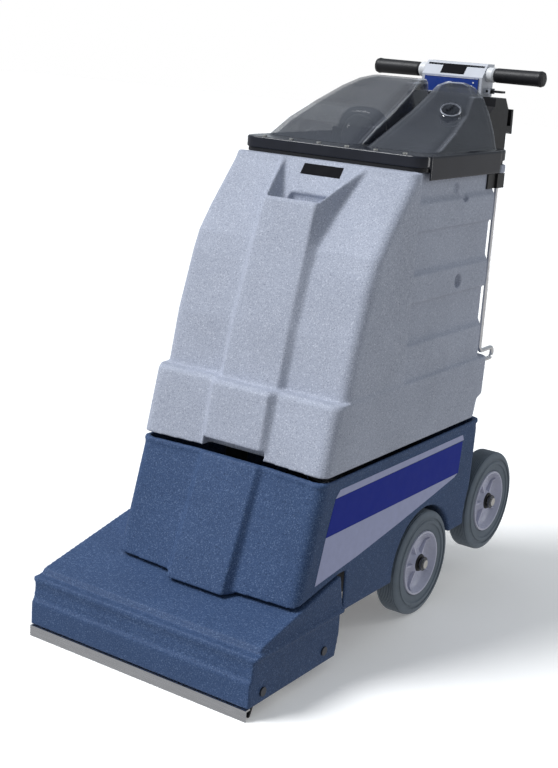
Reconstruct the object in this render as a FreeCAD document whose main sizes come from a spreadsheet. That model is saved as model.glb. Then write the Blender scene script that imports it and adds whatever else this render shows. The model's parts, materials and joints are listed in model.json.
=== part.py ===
import FreeCAD, Part
import math
import os

import Sketcher

# Walk-behind carpet cleaner: a wide brush hood with a vacuum shoe in front, a blue base with four
# wheels, a grey two-chamber tank hinged on the base, a clear double-domed lid and a rear handle.
# Origin: on the floor, on the base's centre plane, below the vacuum shoe's front edge.
# +X is towards the right-hand side seen from the front, +Y towards the handle, +Z up. Millimetres.

os.makedirs("parts", exist_ok=True)
doc = FreeCAD.newDocument("CarpetCleaner")
sheet = doc.addObject("Spreadsheet::Sheet", "Size")

SIZES = {
    # base and tank, seen from the side
    "body_width": 369, "wall": 5, "panel_half": 55, "panel_foot_half": 67,
    "base_top": 337, "base_rear": 722, "base_floor": 92, "rear_floor": 130, "base_foot_front": 138,
    "tank_bottom": 345, "band_height": 455, "tank_top": 812, "tank_rear": 702, "band_rear": 733,
    "corner_radius": 18, "divider_x": 12,
    # brush hood
    "hood_left": 266, "hood_right": 188, "hood_depth": 258, "skirt_bottom": 20,
    "ledge_height": 103, "ledge_drop": 7, "ledge_overhang": 5,
    "deck_front": 30, "deck_front_height": 113, "deck_rear_height": 163,
    # wheels
    "wheel_radius": 98, "wheel_width": 45, "rim_radius": 60, "main_axle_y": 540,
    "rear_axle_y": 807, "rear_axle_z": 149, "axle_radius": 8, "wheel_gap": 3, "well_radius": 108,
    "cheek_x": 128, "pan_height": 116,
    # brush and its drive
    "brush_radius": 49, "brush_core_radius": 30, "brush_y": 106, "brush_z": 50, "brush_shaft_radius": 8,
    "motor_radius": 35, "motor_y": 206, "motor_z": 104, "motor_length": 138, "motor_shaft_radius": 6,
    "brush_pulley_radius": 32, "motor_pulley_radius": 14, "pulley_width": 12, "belt_thickness": 3,
    # vacuum shoe and spray
    "shoe_height": 19, "shoe_slot": 6, "shoe_plate": 3, "manifold_radius": 8, "manifold_y": 225,
    "manifold_z": 44, "nozzle_radius": 5, "nozzle_pitch": 90,
    # lid
    "lid_half": 181, "lid_front": 412, "lid_rear": 738, "gasket_thickness": 6, "flange_thickness": 6,
    "lid_rim_height": 20, "dome_top": 950, "dome_wall": 3,
    # handle
    "grip_y": 856, "grip_z": 962, "grip_radius": 14, "grip_length": 100, "bar_radius": 9,
    "console_half": 64, "console_front": 832, "console_rear": 880, "console_bottom": 921,
    "console_top": 981, "column_half": 95, "column_rear": 896, "rail_radius": 4, "rail_x": 169,
    "rail_y": 722, "collar_length": 16,
}
for row, (alias, value) in enumerate(SIZES.items(), start=1):
    sheet.set(f"A{row}", alias)
    sheet.set(f"B{row}", str(value))
    sheet.setAlias(f"B{row}", alias)
doc.recompute()

NODES = []


def size(expression):
    """The value of an expression in the sheet's aliases, in millimetres."""
    return float(sheet.evalExpression(expression))


def node(piece):
    """Registers a finished piece as a sub-part of the machine."""
    piece.Label = piece.Name
    NODES.append(piece)
    return piece


def move(piece, x="0", y="0", z="0", axis=(0, 0, 1), angle=0):
    """Places a piece with its position bound to the sheet."""
    piece.Placement = FreeCAD.Placement(
        FreeCAD.Vector(), FreeCAD.Rotation(FreeCAD.Vector(*axis), angle))
    for letter, expression in zip("xyz", (x, y, z)):
        piece.setExpression(f"Placement.Base.{letter}", expression)
    return piece


# ---------------------------------------------------------------- building blocks

def box(name, length, width, height, x, y, z):
    piece = doc.addObject("Part::Box", name)
    for prop, expression in (("Length", length), ("Width", width), ("Height", height)):
        piece.setExpression(prop, expression)
    return move(piece, x, y, z)


def rod(name, radius, length, x, y, z, axis="z"):
    """A cylinder starting at x, y, z and running along +x, +y or +z."""
    piece = doc.addObject("Part::Cylinder", name)
    piece.setExpression("Radius", radius)
    piece.setExpression("Height", length)
    turn = {"x": ((0, 1, 0), 90), "y": ((1, 0, 0), -90), "z": ((0, 0, 1), 0)}[axis]
    return move(piece, x, y, z, *turn)


def cut(name, base, tool):
    piece = doc.addObject("Part::Cut", name)
    piece.Base = base
    piece.Tool = tool
    return piece


def fuse(name, pieces):
    piece = doc.addObject("Part::MultiFuse", name)
    piece.Shapes = pieces
    piece.Refine = True
    return piece


def group(name, pieces):
    """Separate solids kept together in one node, such as a set of screws."""
    piece = doc.addObject("Part::Compound", name)
    piece.Links = pieces
    return piece


def tube(name, outer, inner, length, x, y, z, axis="z"):
    return cut(name, rod(name + "_outer", outer, length, x, y, z, axis),
               rod(name + "_bore", inner, length, x, y, z, axis))


def origin_feature(body, role):
    return next(f for f in body.Origin.OriginFeatures if f.Role == role)


def profile(body, plane, name, points):
    """A closed outline whose corners are pairs of sheet expressions."""
    sketch = body.newObject("Sketcher::SketchObject", name)
    sketch.AttachmentSupport = (origin_feature(body, plane), "")
    sketch.MapMode = "FlatFace"
    corners = [(size(u), size(v)) for u, v in points]
    for start, end in zip(corners, corners[1:] + corners[:1]):
        sketch.addGeometry(Part.LineSegment(FreeCAD.Vector(*start, 0), FreeCAD.Vector(*end, 0)))
    for i in range(len(corners)):
        sketch.addConstraint(Sketcher.Constraint("Coincident", i, 2, (i + 1) % len(corners), 1))
    for i, point in enumerate(points):
        for kind, value, expression in zip(("DistanceX", "DistanceY"), corners[i], point):
            index = sketch.addConstraint(Sketcher.Constraint(kind, -1, 1, i, 1, value))
            sketch.setExpression(f"Constraints[{index}]", expression)
    return sketch


def turned(name, points, axis="X_Axis"):
    """A body of revolution about X, from an outline in its own X (along) and Z (radius)."""
    body = doc.addObject("PartDesign::Body", name)
    turn = body.newObject("PartDesign::Revolution", name + "_turn")
    turn.Profile = profile(body, "XZ_Plane", name + "_outline", points)
    turn.ReferenceAxis = (origin_feature(body, axis), [""])
    return body


def extruded(name, points, length, plane="YZ_Plane"):
    """A prism along X (or the plane's normal), centred on the plane."""
    body = doc.addObject("PartDesign::Body", name)
    pad = body.newObject("PartDesign::Pad", name + "_pad")
    pad.Profile = profile(body, plane, name + "_outline", points)
    pad.Midplane = True
    pad.setExpression("Length", length)
    return body


def shaped(name, shape):
    """A piece whose shape is worked out in code from the sheet."""
    piece = doc.addObject("Part::Feature", name)
    piece.Shape = shape
    return piece


def section_x(x, points):
    wire = [FreeCAD.Vector(x, y, z) for y, z in points]
    return Part.makePolygon(wire + wire[:1])


def section_z(z, points):
    wire = [FreeCAD.Vector(x, y, z) for x, y in points]
    return Part.makePolygon(wire + wire[:1])


def prism_x(points, x_low, x_high):
    return Part.makeLoft([section_x(x_low, points), section_x(x_high, points)], True, True)


def prism_y(points, y_low, y_high):
    wire = [FreeCAD.Vector(x, y_low, z) for x, z in points]
    outline = Part.Face(Part.makePolygon(wire + wire[:1]))
    return outline.extrude(FreeCAD.Vector(0, y_high - y_low, 0))


def block(x, y, z):
    """A plain box between two corners: x, y and z are (low, high) pairs."""
    low = FreeCAD.Vector(x[0], y[0], z[0])
    return Part.makeBox(x[1] - x[0], y[1] - y[0], z[1] - z[0], low)


CORNER_STEPS = 5


def bowed_block(half, flat_half, front, bow, rear, radius):
    """A moulded block, symmetric about X = 0, whose front bows back towards both sides.

    front lists the centre line's (y, z) from bottom to top, bow how far each of those points lies
    further back at the side, and rear the (y, z) points from top to bottom. Upright edges are
    rounded by radius.
    """
    right = [(flat_half, 0, 0)]
    for i in range(CORNER_STEPS + 1):
        turn = math.radians(90 * i / CORNER_STEPS)
        right.append((half - radius * (1 - math.sin(turn)), 1, radius * (1 - math.cos(turn))))
    sections = []
    for x, lean, back in [(-x, lean, back) for x, lean, back in reversed(right)] + right:
        points = [(y + lean * shift + back, z) for (y, z), shift in zip(front, bow)]
        points += [(y - back, z) for y, z in rear]
        sections.append(section_x(x, points))
    return Part.makeLoft(sections, True, True)


def upright_loft(levels):
    """A ruled block through flat outlines stacked along Z: (z, [(x, y), ...]) each."""
    return Part.makeLoft([section_z(z, points) for z, points in levels], True, True)


def mirrored(shape):
    return shape.mirror(FreeCAD.Vector(), FreeCAD.Vector(1, 0, 0))


def outward(side, near, far):
    """The x pair of a box between two distances from the centre plane, on one side."""
    return (near, far) if side > 0 else (-far, -near)


# ---------------------------------------------------------------- brush hood

def brush_hood():
    left = -size("Size.hood_left")
    right = size("Size.hood_right")
    depth = size("Size.hood_depth")
    bottom = size("Size.skirt_bottom")
    ledge = size("Size.ledge_height")
    drop = size("Size.ledge_drop")
    over = size("Size.ledge_overhang")
    front = size("Size.deck_front")
    wall = size("Size.wall")
    front_height = size("Size.deck_front_height")
    rear_height = size("Size.deck_rear_height")
    crease = (bottom + ledge) / 2
    skirt = [(2, bottom), (depth - 8, bottom), (depth, bottom + 35), (depth, ledge), (10, ledge),
             (7, crease + 6), (2, crease)]
    rim = [(8, ledge - drop), (depth + 6, ledge - drop), (depth + 6, ledge), (12, ledge)]
    deck = [(front - 6, ledge), (depth + 6, ledge), (depth - 8, rear_height), (front, front_height)]
    outer = prism_x(skirt, left, right)
    outer = outer.fuse(prism_x(rim, left - over, right + over))
    outer = outer.fuse(prism_x(deck, left, right))
    hollow = [(2 + wall + 4, bottom - 1), (depth - wall - 8, bottom - 1),
              (depth - wall, bottom + 35), (depth - wall - 8, rear_height - wall - 3),
              (front + 3, front_height - wall), (front + 3, ledge - drop - wall),
              (2 + wall + 4, ledge - drop - wall)]
    shell = outer.cut(prism_x(hollow, left + wall, right - wall))
    for y, z in HOOD_SCREWS:
        for x in (left - 10, right - wall - 1):
            hole = Part.makeCylinder(HOOD_SCREW_RADIUS + 0.2, wall + 11,
                                     FreeCAD.Vector(x, y, z), FreeCAD.Vector(1, 0, 0))
            shell = shell.cut(hole)
    # slot in the deck for the recovery hose
    hose = Part.makeCylinder(HOSE_RADIUS + 1, 80, FreeCAD.Vector(RECOVERY_X, RECOVERY_DECK_Y, 100))
    line_at = FreeCAD.Vector(LINE_X, size("Size.manifold_y"), 100)
    spray_line = Part.makeCylinder(LINE_RADIUS + 2, 80, line_at)
    return shaped("brush_hood", shell.cut(hose).cut(spray_line).removeSplitter())


HOOD_SCREWS = [(38, 38), (212, 43)]
HOOD_SCREW_RADIUS = 3
HOSE_RADIUS = 19
RECOVERY_X = -45
RECOVERY_DECK_Y = 170
LINE_RADIUS = 6
LINE_X = 90

node(brush_hood())


def hood_screws():
    """Round-headed screws through the hood's two sides, which carry the hood on its frame."""
    screws = []
    for y, z in HOOD_SCREWS:
        for side, wall_x in ((-1, -size("Size.hood_left")), (1, size("Size.hood_right"))):
            outward_axis = FreeCAD.Vector(side, 0, 0)
            inner_end = FreeCAD.Vector(wall_x - side * 12, y, z)
            head_start = FreeCAD.Vector(wall_x + side * 0.1, y, z)
            screws.append(Part.makeCylinder(HOOD_SCREW_RADIUS, 14, inner_end, outward_axis).fuse(
                Part.makeCylinder(2.5 * HOOD_SCREW_RADIUS, 2.5, head_start, outward_axis)))
    return shaped("hood_screws", Part.makeCompound(screws))


node(hood_screws())

# ---------------------------------------------------------------- blue base

FLANK_FOOT_Y, FLANK_TOP_Y = 114, 186     # front wall beside the middle panel, at foot and top
FOOT_BOW, TOP_BOW = 24, 10               # how far the front's outer corners lie behind that


def panel_block(levels):
    """The raised panel down the front: (z, face half-width, face y, flank half-width, flank y)."""
    sections = []
    for z, face_half, face, flank_half, flank in levels:
        back = flank + 20
        sections.append((z, [(-flank_half, back), (-flank_half, flank), (-face_half, face),
                             (face_half, face), (flank_half, flank), (flank_half, back)]))
    return upright_loft(sections)


def base_shell():
    half = size("Size.body_width / 2")
    top = size("Size.base_top")
    rear = size("Size.base_rear")
    floor = size("Size.base_floor")
    rear_floor = size("Size.rear_floor")
    foot = size("Size.base_foot_front")
    wall = size("Size.wall")
    radius = size("Size.corner_radius")
    foot_half = size("Size.panel_foot_half")
    face_half = size("Size.panel_half")
    hood_rear = size("Size.hood_depth") + 8
    deck_rear = size("Size.deck_rear_height") + 2
    flank = FLANK_FOOT_Y, FLANK_TOP_Y
    # the front wall stands on the hood's deck; behind the hood the base drops to its floor
    upper = bowed_block(half, foot_half, [(flank[0], foot), (flank[1], top)],
                        [FOOT_BOW - radius, TOP_BOW - radius],
                        [(rear, top), (rear + 6, top - 20), (rear, deck_rear)], radius)
    upper = upper.cut(block((-half, half), (0, hood_rear + 6), (foot - 50, deck_rear)).cut(
        prism_x([(0, 300), (300, 300), (300, 174), (flank[0] - 30, foot - 3)], -half, half)))
    lower = block((-half, half), (hood_rear + 4, rear), (floor, deck_rear + 4))
    lower = lower.cut(block((-half, half), (640, rear + 1), (floor - 1, rear_floor)))
    body = upper.fuse(lower)
    # raised panel down the middle of the front
    body = body.fuse(panel_block([(foot - 1, face_half, 97, foot_half, flank[0] + 2),
                                  (top, face_half, 178, foot_half, flank[1] + 2)]))
    # rim round the top edge
    body = body.fuse(bowed_block(half + 1.5, foot_half, [(flank[1] - 4, top - 7), (flank[1] - 2, top)],
                                 [TOP_BOW - radius, TOP_BOW - radius],
                                 [(rear + 7, top), (rear + 7, top - 7)], radius))
    hollow = bowed_block(half - wall, foot_half,
                         [(flank[0] + 14, foot - 40), (flank[1] + wall + 2, top + 1)],
                         [FOOT_BOW - radius, TOP_BOW - radius],
                         [(rear - wall, top + 1), (rear - wall, foot - 40)], radius)
    cavity = hollow.fuse(block((-half + wall, half - wall), (hood_rear + 9, rear - wall),
                               (floor - 1, deck_rear)))
    wells = wheel_wells(0)
    body = body.cut(wells)
    body = body.cut(cavity.cut(wheel_wells(wall)))
    axle_hole = Part.makeCylinder(size("Size.axle_radius") + 1, 2 * half,
                                  FreeCAD.Vector(-half, size("Size.main_axle_y"),
                                                 size("Size.wheel_radius")), FreeCAD.Vector(1, 0, 0))
    body = body.cut(axle_hole)
    return shaped("base_shell", body.removeSplitter())


def wheel_wells(extra):
    """The room for the four wheels, enlarged by extra to leave a wall round it."""
    half = size("Size.body_width / 2")
    depth = size("Size.wheel_width + 2 * Size.wheel_gap") + extra
    radius = size("Size.well_radius") + extra
    wells = None
    for y, z in ((size("Size.main_axle_y"), size("Size.wheel_radius")),
                 (size("Size.rear_axle_y"), size("Size.rear_axle_z"))):
        for side in (-1, 1):
            start = half - depth if side > 0 else -half - 20
            wheel = Part.makeCylinder(radius, depth + 20, FreeCAD.Vector(start, y, z),
                                      FreeCAD.Vector(1, 0, 0))
            wells = wheel if wells is None else wells.fuse(wheel)
    return wells


node(base_shell())


def chassis_plate():
    """Folded steel floor: a flat pan above the main axle, with two upright cheeks that carry it."""
    length = "Size.base_rear - Size.hood_depth - 46"
    pan = box("chassis_pan", "2 * Size.cheek_x", length, "3",
              "-Size.cheek_x", "Size.hood_depth + 24", "Size.pan_height")
    cheeks = [box(f"chassis_cheek_{side}", "3", length, "72", x, "Size.hood_depth + 24",
                  "Size.wheel_radius - 16")
              for side, x in (("left", "-Size.cheek_x"), ("right", "Size.cheek_x - 3"))]
    bore = rod("chassis_axle_hole", "Size.axle_radius + 0.05", "300", "-150", "Size.main_axle_y",
               "Size.wheel_radius", "x")
    return cut("chassis_plate", fuse("chassis_blank", [pan] + cheeks), bore)


def rear_axle_bracket():
    """Channel on the base's rear wall whose two ears hold the raised rear axle."""
    web = box("bracket_web", "2 * Size.cheek_x", "4", "60", "-Size.cheek_x", "Size.base_rear",
              "Size.rear_axle_z - 45")
    ears = [box(f"bracket_ear_{side}", "4", "Size.rear_axle_y - Size.base_rear + 18", "39.5", x,
                "Size.base_rear", "Size.rear_axle_z - 24")
            for side, x in (("left", "-Size.cheek_x"), ("right", "Size.cheek_x - 4"))]
    bore = rod("bracket_axle_hole", "Size.axle_radius + 0.05", "300", "-150", "Size.rear_axle_y",
               "Size.rear_axle_z", "x")
    return cut("rear_axle_bracket", fuse("bracket_blank", [web] + ears), bore)


node(chassis_plate())
node(rear_axle_bracket())

# ---------------------------------------------------------------- axles and wheels

AXLES = {
    "main": ("Size.main_axle_y", "Size.wheel_radius"),
    "rear": ("Size.rear_axle_y", "Size.rear_axle_z"),
}
WHEEL_X = "(Size.body_width / 2 + Size.wheel_gap - Size.wheel_width / 2)"
RIB_COUNT = 5


def tyre(name):
    half, radius = "Size.wheel_width / 2", "Size.wheel_radius"
    return turned(name, [
        (f"-{half}", "Size.rim_radius"), (f"-{half}", f"{radius} - 11"),
        (f"-{half} + 3", f"{radius} - 4"), (f"-{half} + 9", radius),
        (f"{half} - 9", radius), (f"{half} - 3", f"{radius} - 4"),
        (half, f"{radius} - 11"), (half, "Size.rim_radius")])


def hub(name):
    """Moulded wheel centre: rim, thin web, bossed bore and ribs on its outer side."""
    half, rim, bore = "Size.wheel_width / 2", "Size.rim_radius - 0.1", "Size.axle_radius + 0.06"
    disc = turned(name + "_disc", [
        (f"-{half}", bore), (f"{half} - 1", bore), (f"{half} - 1", "Size.axle_radius + 7"),
        ("4", "Size.axle_radius + 9"), ("4", "Size.rim_radius - 8"),
        (f"{half} - 3", "Size.rim_radius - 5"), (f"{half} - 3", rim), (f"-{half} + 3", rim),
        (f"-{half} + 3", "Size.rim_radius - 5"), ("-4", "Size.rim_radius - 8"),
        ("-4", "Size.axle_radius + 9"), (f"-{half}", "Size.axle_radius + 7")])
    pieces = [disc]
    for i in range(RIB_COUNT):
        rib = box(f"{name}_rib_{i + 1}", "12", "5", "Size.rim_radius - Size.axle_radius - 18",
                  "2", "-2.5", "Size.axle_radius + 8")
        holder = doc.addObject("Part::Compound", f"{name}_rib_turned_{i + 1}")
        holder.Links = [rib]
        holder.Placement.Rotation = FreeCAD.Rotation(FreeCAD.Vector(1, 0, 0), 360 * i / RIB_COUNT)
        pieces.append(holder)
    return fuse(name, pieces)


def place_wheel(piece, side, axle):
    y, z = AXLES[axle]
    x = WHEEL_X if side == "right" else f"-{WHEEL_X}"
    return move(piece, x, y, z, (0, 0, 1), 0 if side == "right" else 180)


for axle, (axle_y, axle_z) in AXLES.items():
    node(rod(f"{axle}_axle", "Size.axle_radius", "Size.body_width + 20",
             "-Size.body_width / 2 - 10", axle_y, axle_z, "x"))
    for side in ("left", "right"):
        node(place_wheel(tyre(f"{axle}_tyre_{side}"), side, axle))
        node(place_wheel(hub(f"{axle}_hub_{side}"), side, axle))

push_nuts = []
for axle, (axle_y, axle_z) in AXLES.items():
    for side, start in (("left", f"-{WHEEL_X} - Size.wheel_width / 2 - 3.5"),
                        ("right", f"{WHEEL_X} + Size.wheel_width / 2 + 0.5")):
        push_nuts.append(tube(f"push_nut_{axle}_{side}", "Size.axle_radius + 5",
                              "Size.axle_radius + 0.02", "3", start, axle_y, axle_z, "x"))
node(group("axle_push_nuts", push_nuts))

# ---------------------------------------------------------------- brush and its belt drive

BEARING_WIDTH = 12
BELT_X = -250          # middle of the belt, beside the hood's left wall
ROLLER_LEFT, ROLLER_RIGHT = -226, 160


def brush_roller():
    """Hollow core on a shaft; the core carries the bristle sleeve."""
    shaft, core = "Size.brush_shaft_radius", "Size.brush_core_radius"
    body = turned("brush_core", [
        (str(BELT_X - 8), "0"), (str(ROLLER_RIGHT + 16), "0"), (str(ROLLER_RIGHT + 16), shaft),
        (str(ROLLER_RIGHT), shaft), (str(ROLLER_RIGHT), core), (str(ROLLER_LEFT), core),
        (str(ROLLER_LEFT), shaft), (str(BELT_X - 8), shaft)])
    return move(body, "0", "Size.brush_y", "Size.brush_z")


def pulley(name, radius, bore, y, z):
    half = "Size.pulley_width / 2"
    body = turned(name, [(f"-{half}", bore), (half, bore), (half, f"{radius} + 2"),
                         (f"{half} - 1", f"{radius} + 2"), (f"{half} - 1", radius),
                         (f"-{half} + 1", radius), (f"-{half} + 1", f"{radius} + 2"),
                         (f"-{half}", f"{radius} + 2")])
    return move(body, str(BELT_X), y, z)


def stadium(points, x, width):
    """The convex outline round circles (y, z, radius), as a solid slab centred on x."""
    (ya, za, ra), (yb, zb, rb) = points
    span = math.hypot(yb - ya, zb - za)
    along = math.atan2(zb - za, yb - ya)
    spread = math.acos((ra - rb) / span)

    def at(centre, radius, angle):
        return FreeCAD.Vector(x, centre[0] + radius * math.cos(angle),
                              centre[1] + radius * math.sin(angle))
    a, b = (ya, za), (yb, zb)
    upper_a, upper_b = at(a, ra, along + spread), at(b, rb, along + spread)
    lower_a, lower_b = at(a, ra, along - spread), at(b, rb, along - spread)
    edges = [Part.makeLine(upper_a, upper_b),
             Part.Arc(upper_b, at(b, rb, along), lower_b).toShape(),
             Part.makeLine(lower_b, lower_a),
             Part.Arc(lower_a, at(a, ra, along + math.pi), upper_a).toShape()]
    face = Part.Face(Part.Wire(edges))
    slab = face.extrude(FreeCAD.Vector(width, 0, 0))
    slab.translate(FreeCAD.Vector(-width / 2, 0, 0))
    return slab


def drive_belt():
    small, large = size("Size.motor_pulley_radius") + 0.3, size("Size.brush_pulley_radius") + 0.3
    brush = (size("Size.brush_y"), size("Size.brush_z"))
    motor = (size("Size.motor_y"), size("Size.motor_z"))
    thick = size("Size.belt_thickness")
    width = size("Size.pulley_width") - 3
    outer = stadium([(*brush, large + thick), (*motor, small + thick)], BELT_X, width)
    inner = stadium([(*brush, large), (*motor, small)], BELT_X, width)
    return shaped("drive_belt", outer.cut(inner))


node(brush_roller())
node(tube("brush_bristles", "Size.brush_radius", "Size.brush_core_radius",
          str(ROLLER_RIGHT - ROLLER_LEFT - 4), str(ROLLER_LEFT + 2), "Size.brush_y",
          "Size.brush_z", "x"))
node(pulley("brush_pulley", "Size.brush_pulley_radius", "Size.brush_shaft_radius",
            "Size.brush_y", "Size.brush_z"))
motor_wheel = pulley("motor_wheel", "Size.motor_pulley_radius", "Size.motor_shaft_radius",
                     "Size.motor_y", "Size.motor_z")
motor_stub = rod("motor_stub", "Size.motor_shaft_radius", "32", str(BELT_X - 8), "Size.motor_y",
                 "Size.motor_z", "x")
node(fuse("motor_pulley", [motor_wheel, motor_stub]))
motor_case = rod("motor_case", "Size.motor_radius", "Size.motor_length", str(BELT_X + 14),
                 "Size.motor_y", "Size.motor_z", "x")
motor_bore = rod("motor_bore", "Size.motor_shaft_radius + 0.05", "14", str(BELT_X + 12),
                 "Size.motor_y", "Size.motor_z", "x")
node(cut("brush_motor", motor_case, motor_bore))
node(drive_belt())
bearings = []
for side, start in (("left", ROLLER_LEFT - 3 - BEARING_WIDTH), ("right", ROLLER_RIGHT + 3)):
    housing = box(f"bearing_block_{side}", str(BEARING_WIDTH), "40", "86", str(start),
                  "Size.brush_y - 20", "Size.brush_z - 20")
    bore = rod(f"bearing_bore_{side}", "Size.brush_shaft_radius + 0.05", str(BEARING_WIDTH + 4),
               str(start - 2), "Size.brush_y", "Size.brush_z", "x")
    bearings.append(cut(f"bearing_{side}", housing, bore))
node(group("brush_bearings", bearings))

# ---------------------------------------------------------------- vacuum shoe and water path

def vacuum_shoe():
    """Suction chamber behind the hood's front wall, open along its foot."""
    width = "Size.hood_left + Size.hood_right - 12"
    chamber = extruded("shoe_chamber", [
        ("11.5", "20.5"), ("11.5", "88"), ("33", "88"), ("33", "36"), ("17", "0.5"), ("13", "0.5"),
        ("29.5", "37"), ("29.5", "84.5"), ("15", "84.5"), ("15", "20.5")], width)
    move(chamber, "(Size.hood_right - Size.hood_left) / 2")
    caps = [box(f"shoe_cap_{side}", "Size.shoe_plate", "20", "66", x, "12.5", "21")
            for side, x in (("left", "6 - Size.hood_left"), ("right", "Size.hood_right - 9"))]
    port = box("shoe_port", "40", "8", "12", str(RECOVERY_X - 20), "27", "72")
    return cut("vacuum_shoe", fuse("shoe_blank", [chamber] + caps), port)


def shoe_lip():
    """Thin strip along the hood's front edge that rides on the carpet."""
    half = "Size.shoe_plate / 2"
    lip = extruded("shoe_lip", [(f"-{half}", "0"), (half, "0"), (half, "Size.shoe_height - 3"),
                                ("10.5", "Size.shoe_height - 3"), ("10.5", "Size.shoe_height"),
                                (f"-{half}", "Size.shoe_height")],
                   "Size.hood_left + Size.hood_right - 4")
    return move(lip, "(Size.hood_right - Size.hood_left) / 2")


def recovery_duct():
    """Flat duct from the suction chamber over the brush to the recovery hose."""
    outline = [(33.2, 70), (60, 88), (85, 101), (196, 124), (196, 138.5), (60, 108), (48, 103),
               (33.2, 87)]
    face = Part.Face(section_x(RECOVERY_X - 25, outline))
    width = FreeCAD.Vector(50, 0, 0)
    inner = face.makeOffset2D(-2).extrude(FreeCAD.Vector(46, 0, 0))
    inner.translate(FreeCAD.Vector(2, 0, 0))
    duct = face.extrude(width).cut(inner)
    mouth = block((RECOVERY_X - 20, RECOVERY_X + 20), (30, 40), (73, 83))
    outlet = Part.makeCylinder(HOSE_RADIUS - 3, 20, FreeCAD.Vector(RECOVERY_X, RECOVERY_DECK_Y, 125))
    return shaped("recovery_duct", duct.cut(mouth).cut(outlet))


def route(points, radius):
    """A wire of straight runs through the points, joined by tangent arcs of one radius."""
    points = [FreeCAD.Vector(*p) for p in points]
    edges, start = [], points[0]
    for before, corner, after in zip(points, points[1:], points[2:]):
        inward, outward = (before - corner).normalize(), (after - corner).normalize()
        angle = inward.getAngle(outward)
        reach = radius / math.tan(angle / 2)
        first, last = corner + inward * reach, corner + outward * reach
        middle = (inward + outward).normalize()
        crown = corner + middle * (radius / math.sin(angle / 2) - radius)
        edges += [Part.makeLine(start, first), Part.Arc(first, crown, last).toShape()]
        start = last
    edges.append(Part.makeLine(start, points[-1]))
    return Part.Wire(edges)


def pipe(points, bend, outer, inner=0):
    """A round pipe, hose or bent rod along a route."""
    wire = route(points, bend)
    start = wire.Edges[0]
    direction = start.tangentAt(start.FirstParameter)

    def swept(radius):
        ring = Part.Wire(Part.makeCircle(radius, FreeCAD.Vector(*points[0]), direction))
        return wire.makePipeShell([ring], True, False)
    solid = swept(outer)
    return solid.cut(swept(inner)) if inner else solid


node(vacuum_shoe())
node(shoe_lip())
node(recovery_duct())

# ---------------------------------------------------------------- grey tank

# (y, z) of the tank's front on its centre line's flanks, from the band to the rim, and how far
# the outer corners lie behind it
TANK_FRONT = [(231, 455), (250, 549), (283, 650), (296, 681), (327, 722), (392, 800), (398, 812)]
TANK_BOW = [15, 16, 16, 16, 15, 15, 15]
PANEL_LEVELS = [  # z, face half-width, face y, flank half-width, flank y
    (455, 55, 219, 67, 232), (554, 54, 242, 67, 252), (670, 52, 277, 67, 291),
    (722, 51, 293, 67, 328), (752, 50, 303, 71, 353), (808, 85, 395, 90, 398)]
FRONT_WALL = 25        # from the front face on the centre line to the chamber behind it
RIB_BANDS = [(471, 525), (593, 645), (714, 765)]
SEAM_Y = 412           # the recessed sides start behind this seam
BAND_DEPTH, GROOVE_DEPTH, SIDE_WALL = 5, 13, 22     # inwards from half the body's width
SIDE_DIMPLES = [(557, 779, 8.5, 18), (583, 765, 11, 13), (583, 615, 12, 14)]  # y, z, radius, depth
BRACKET_LOW, BRACKET_HIGH = 770, 797


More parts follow.
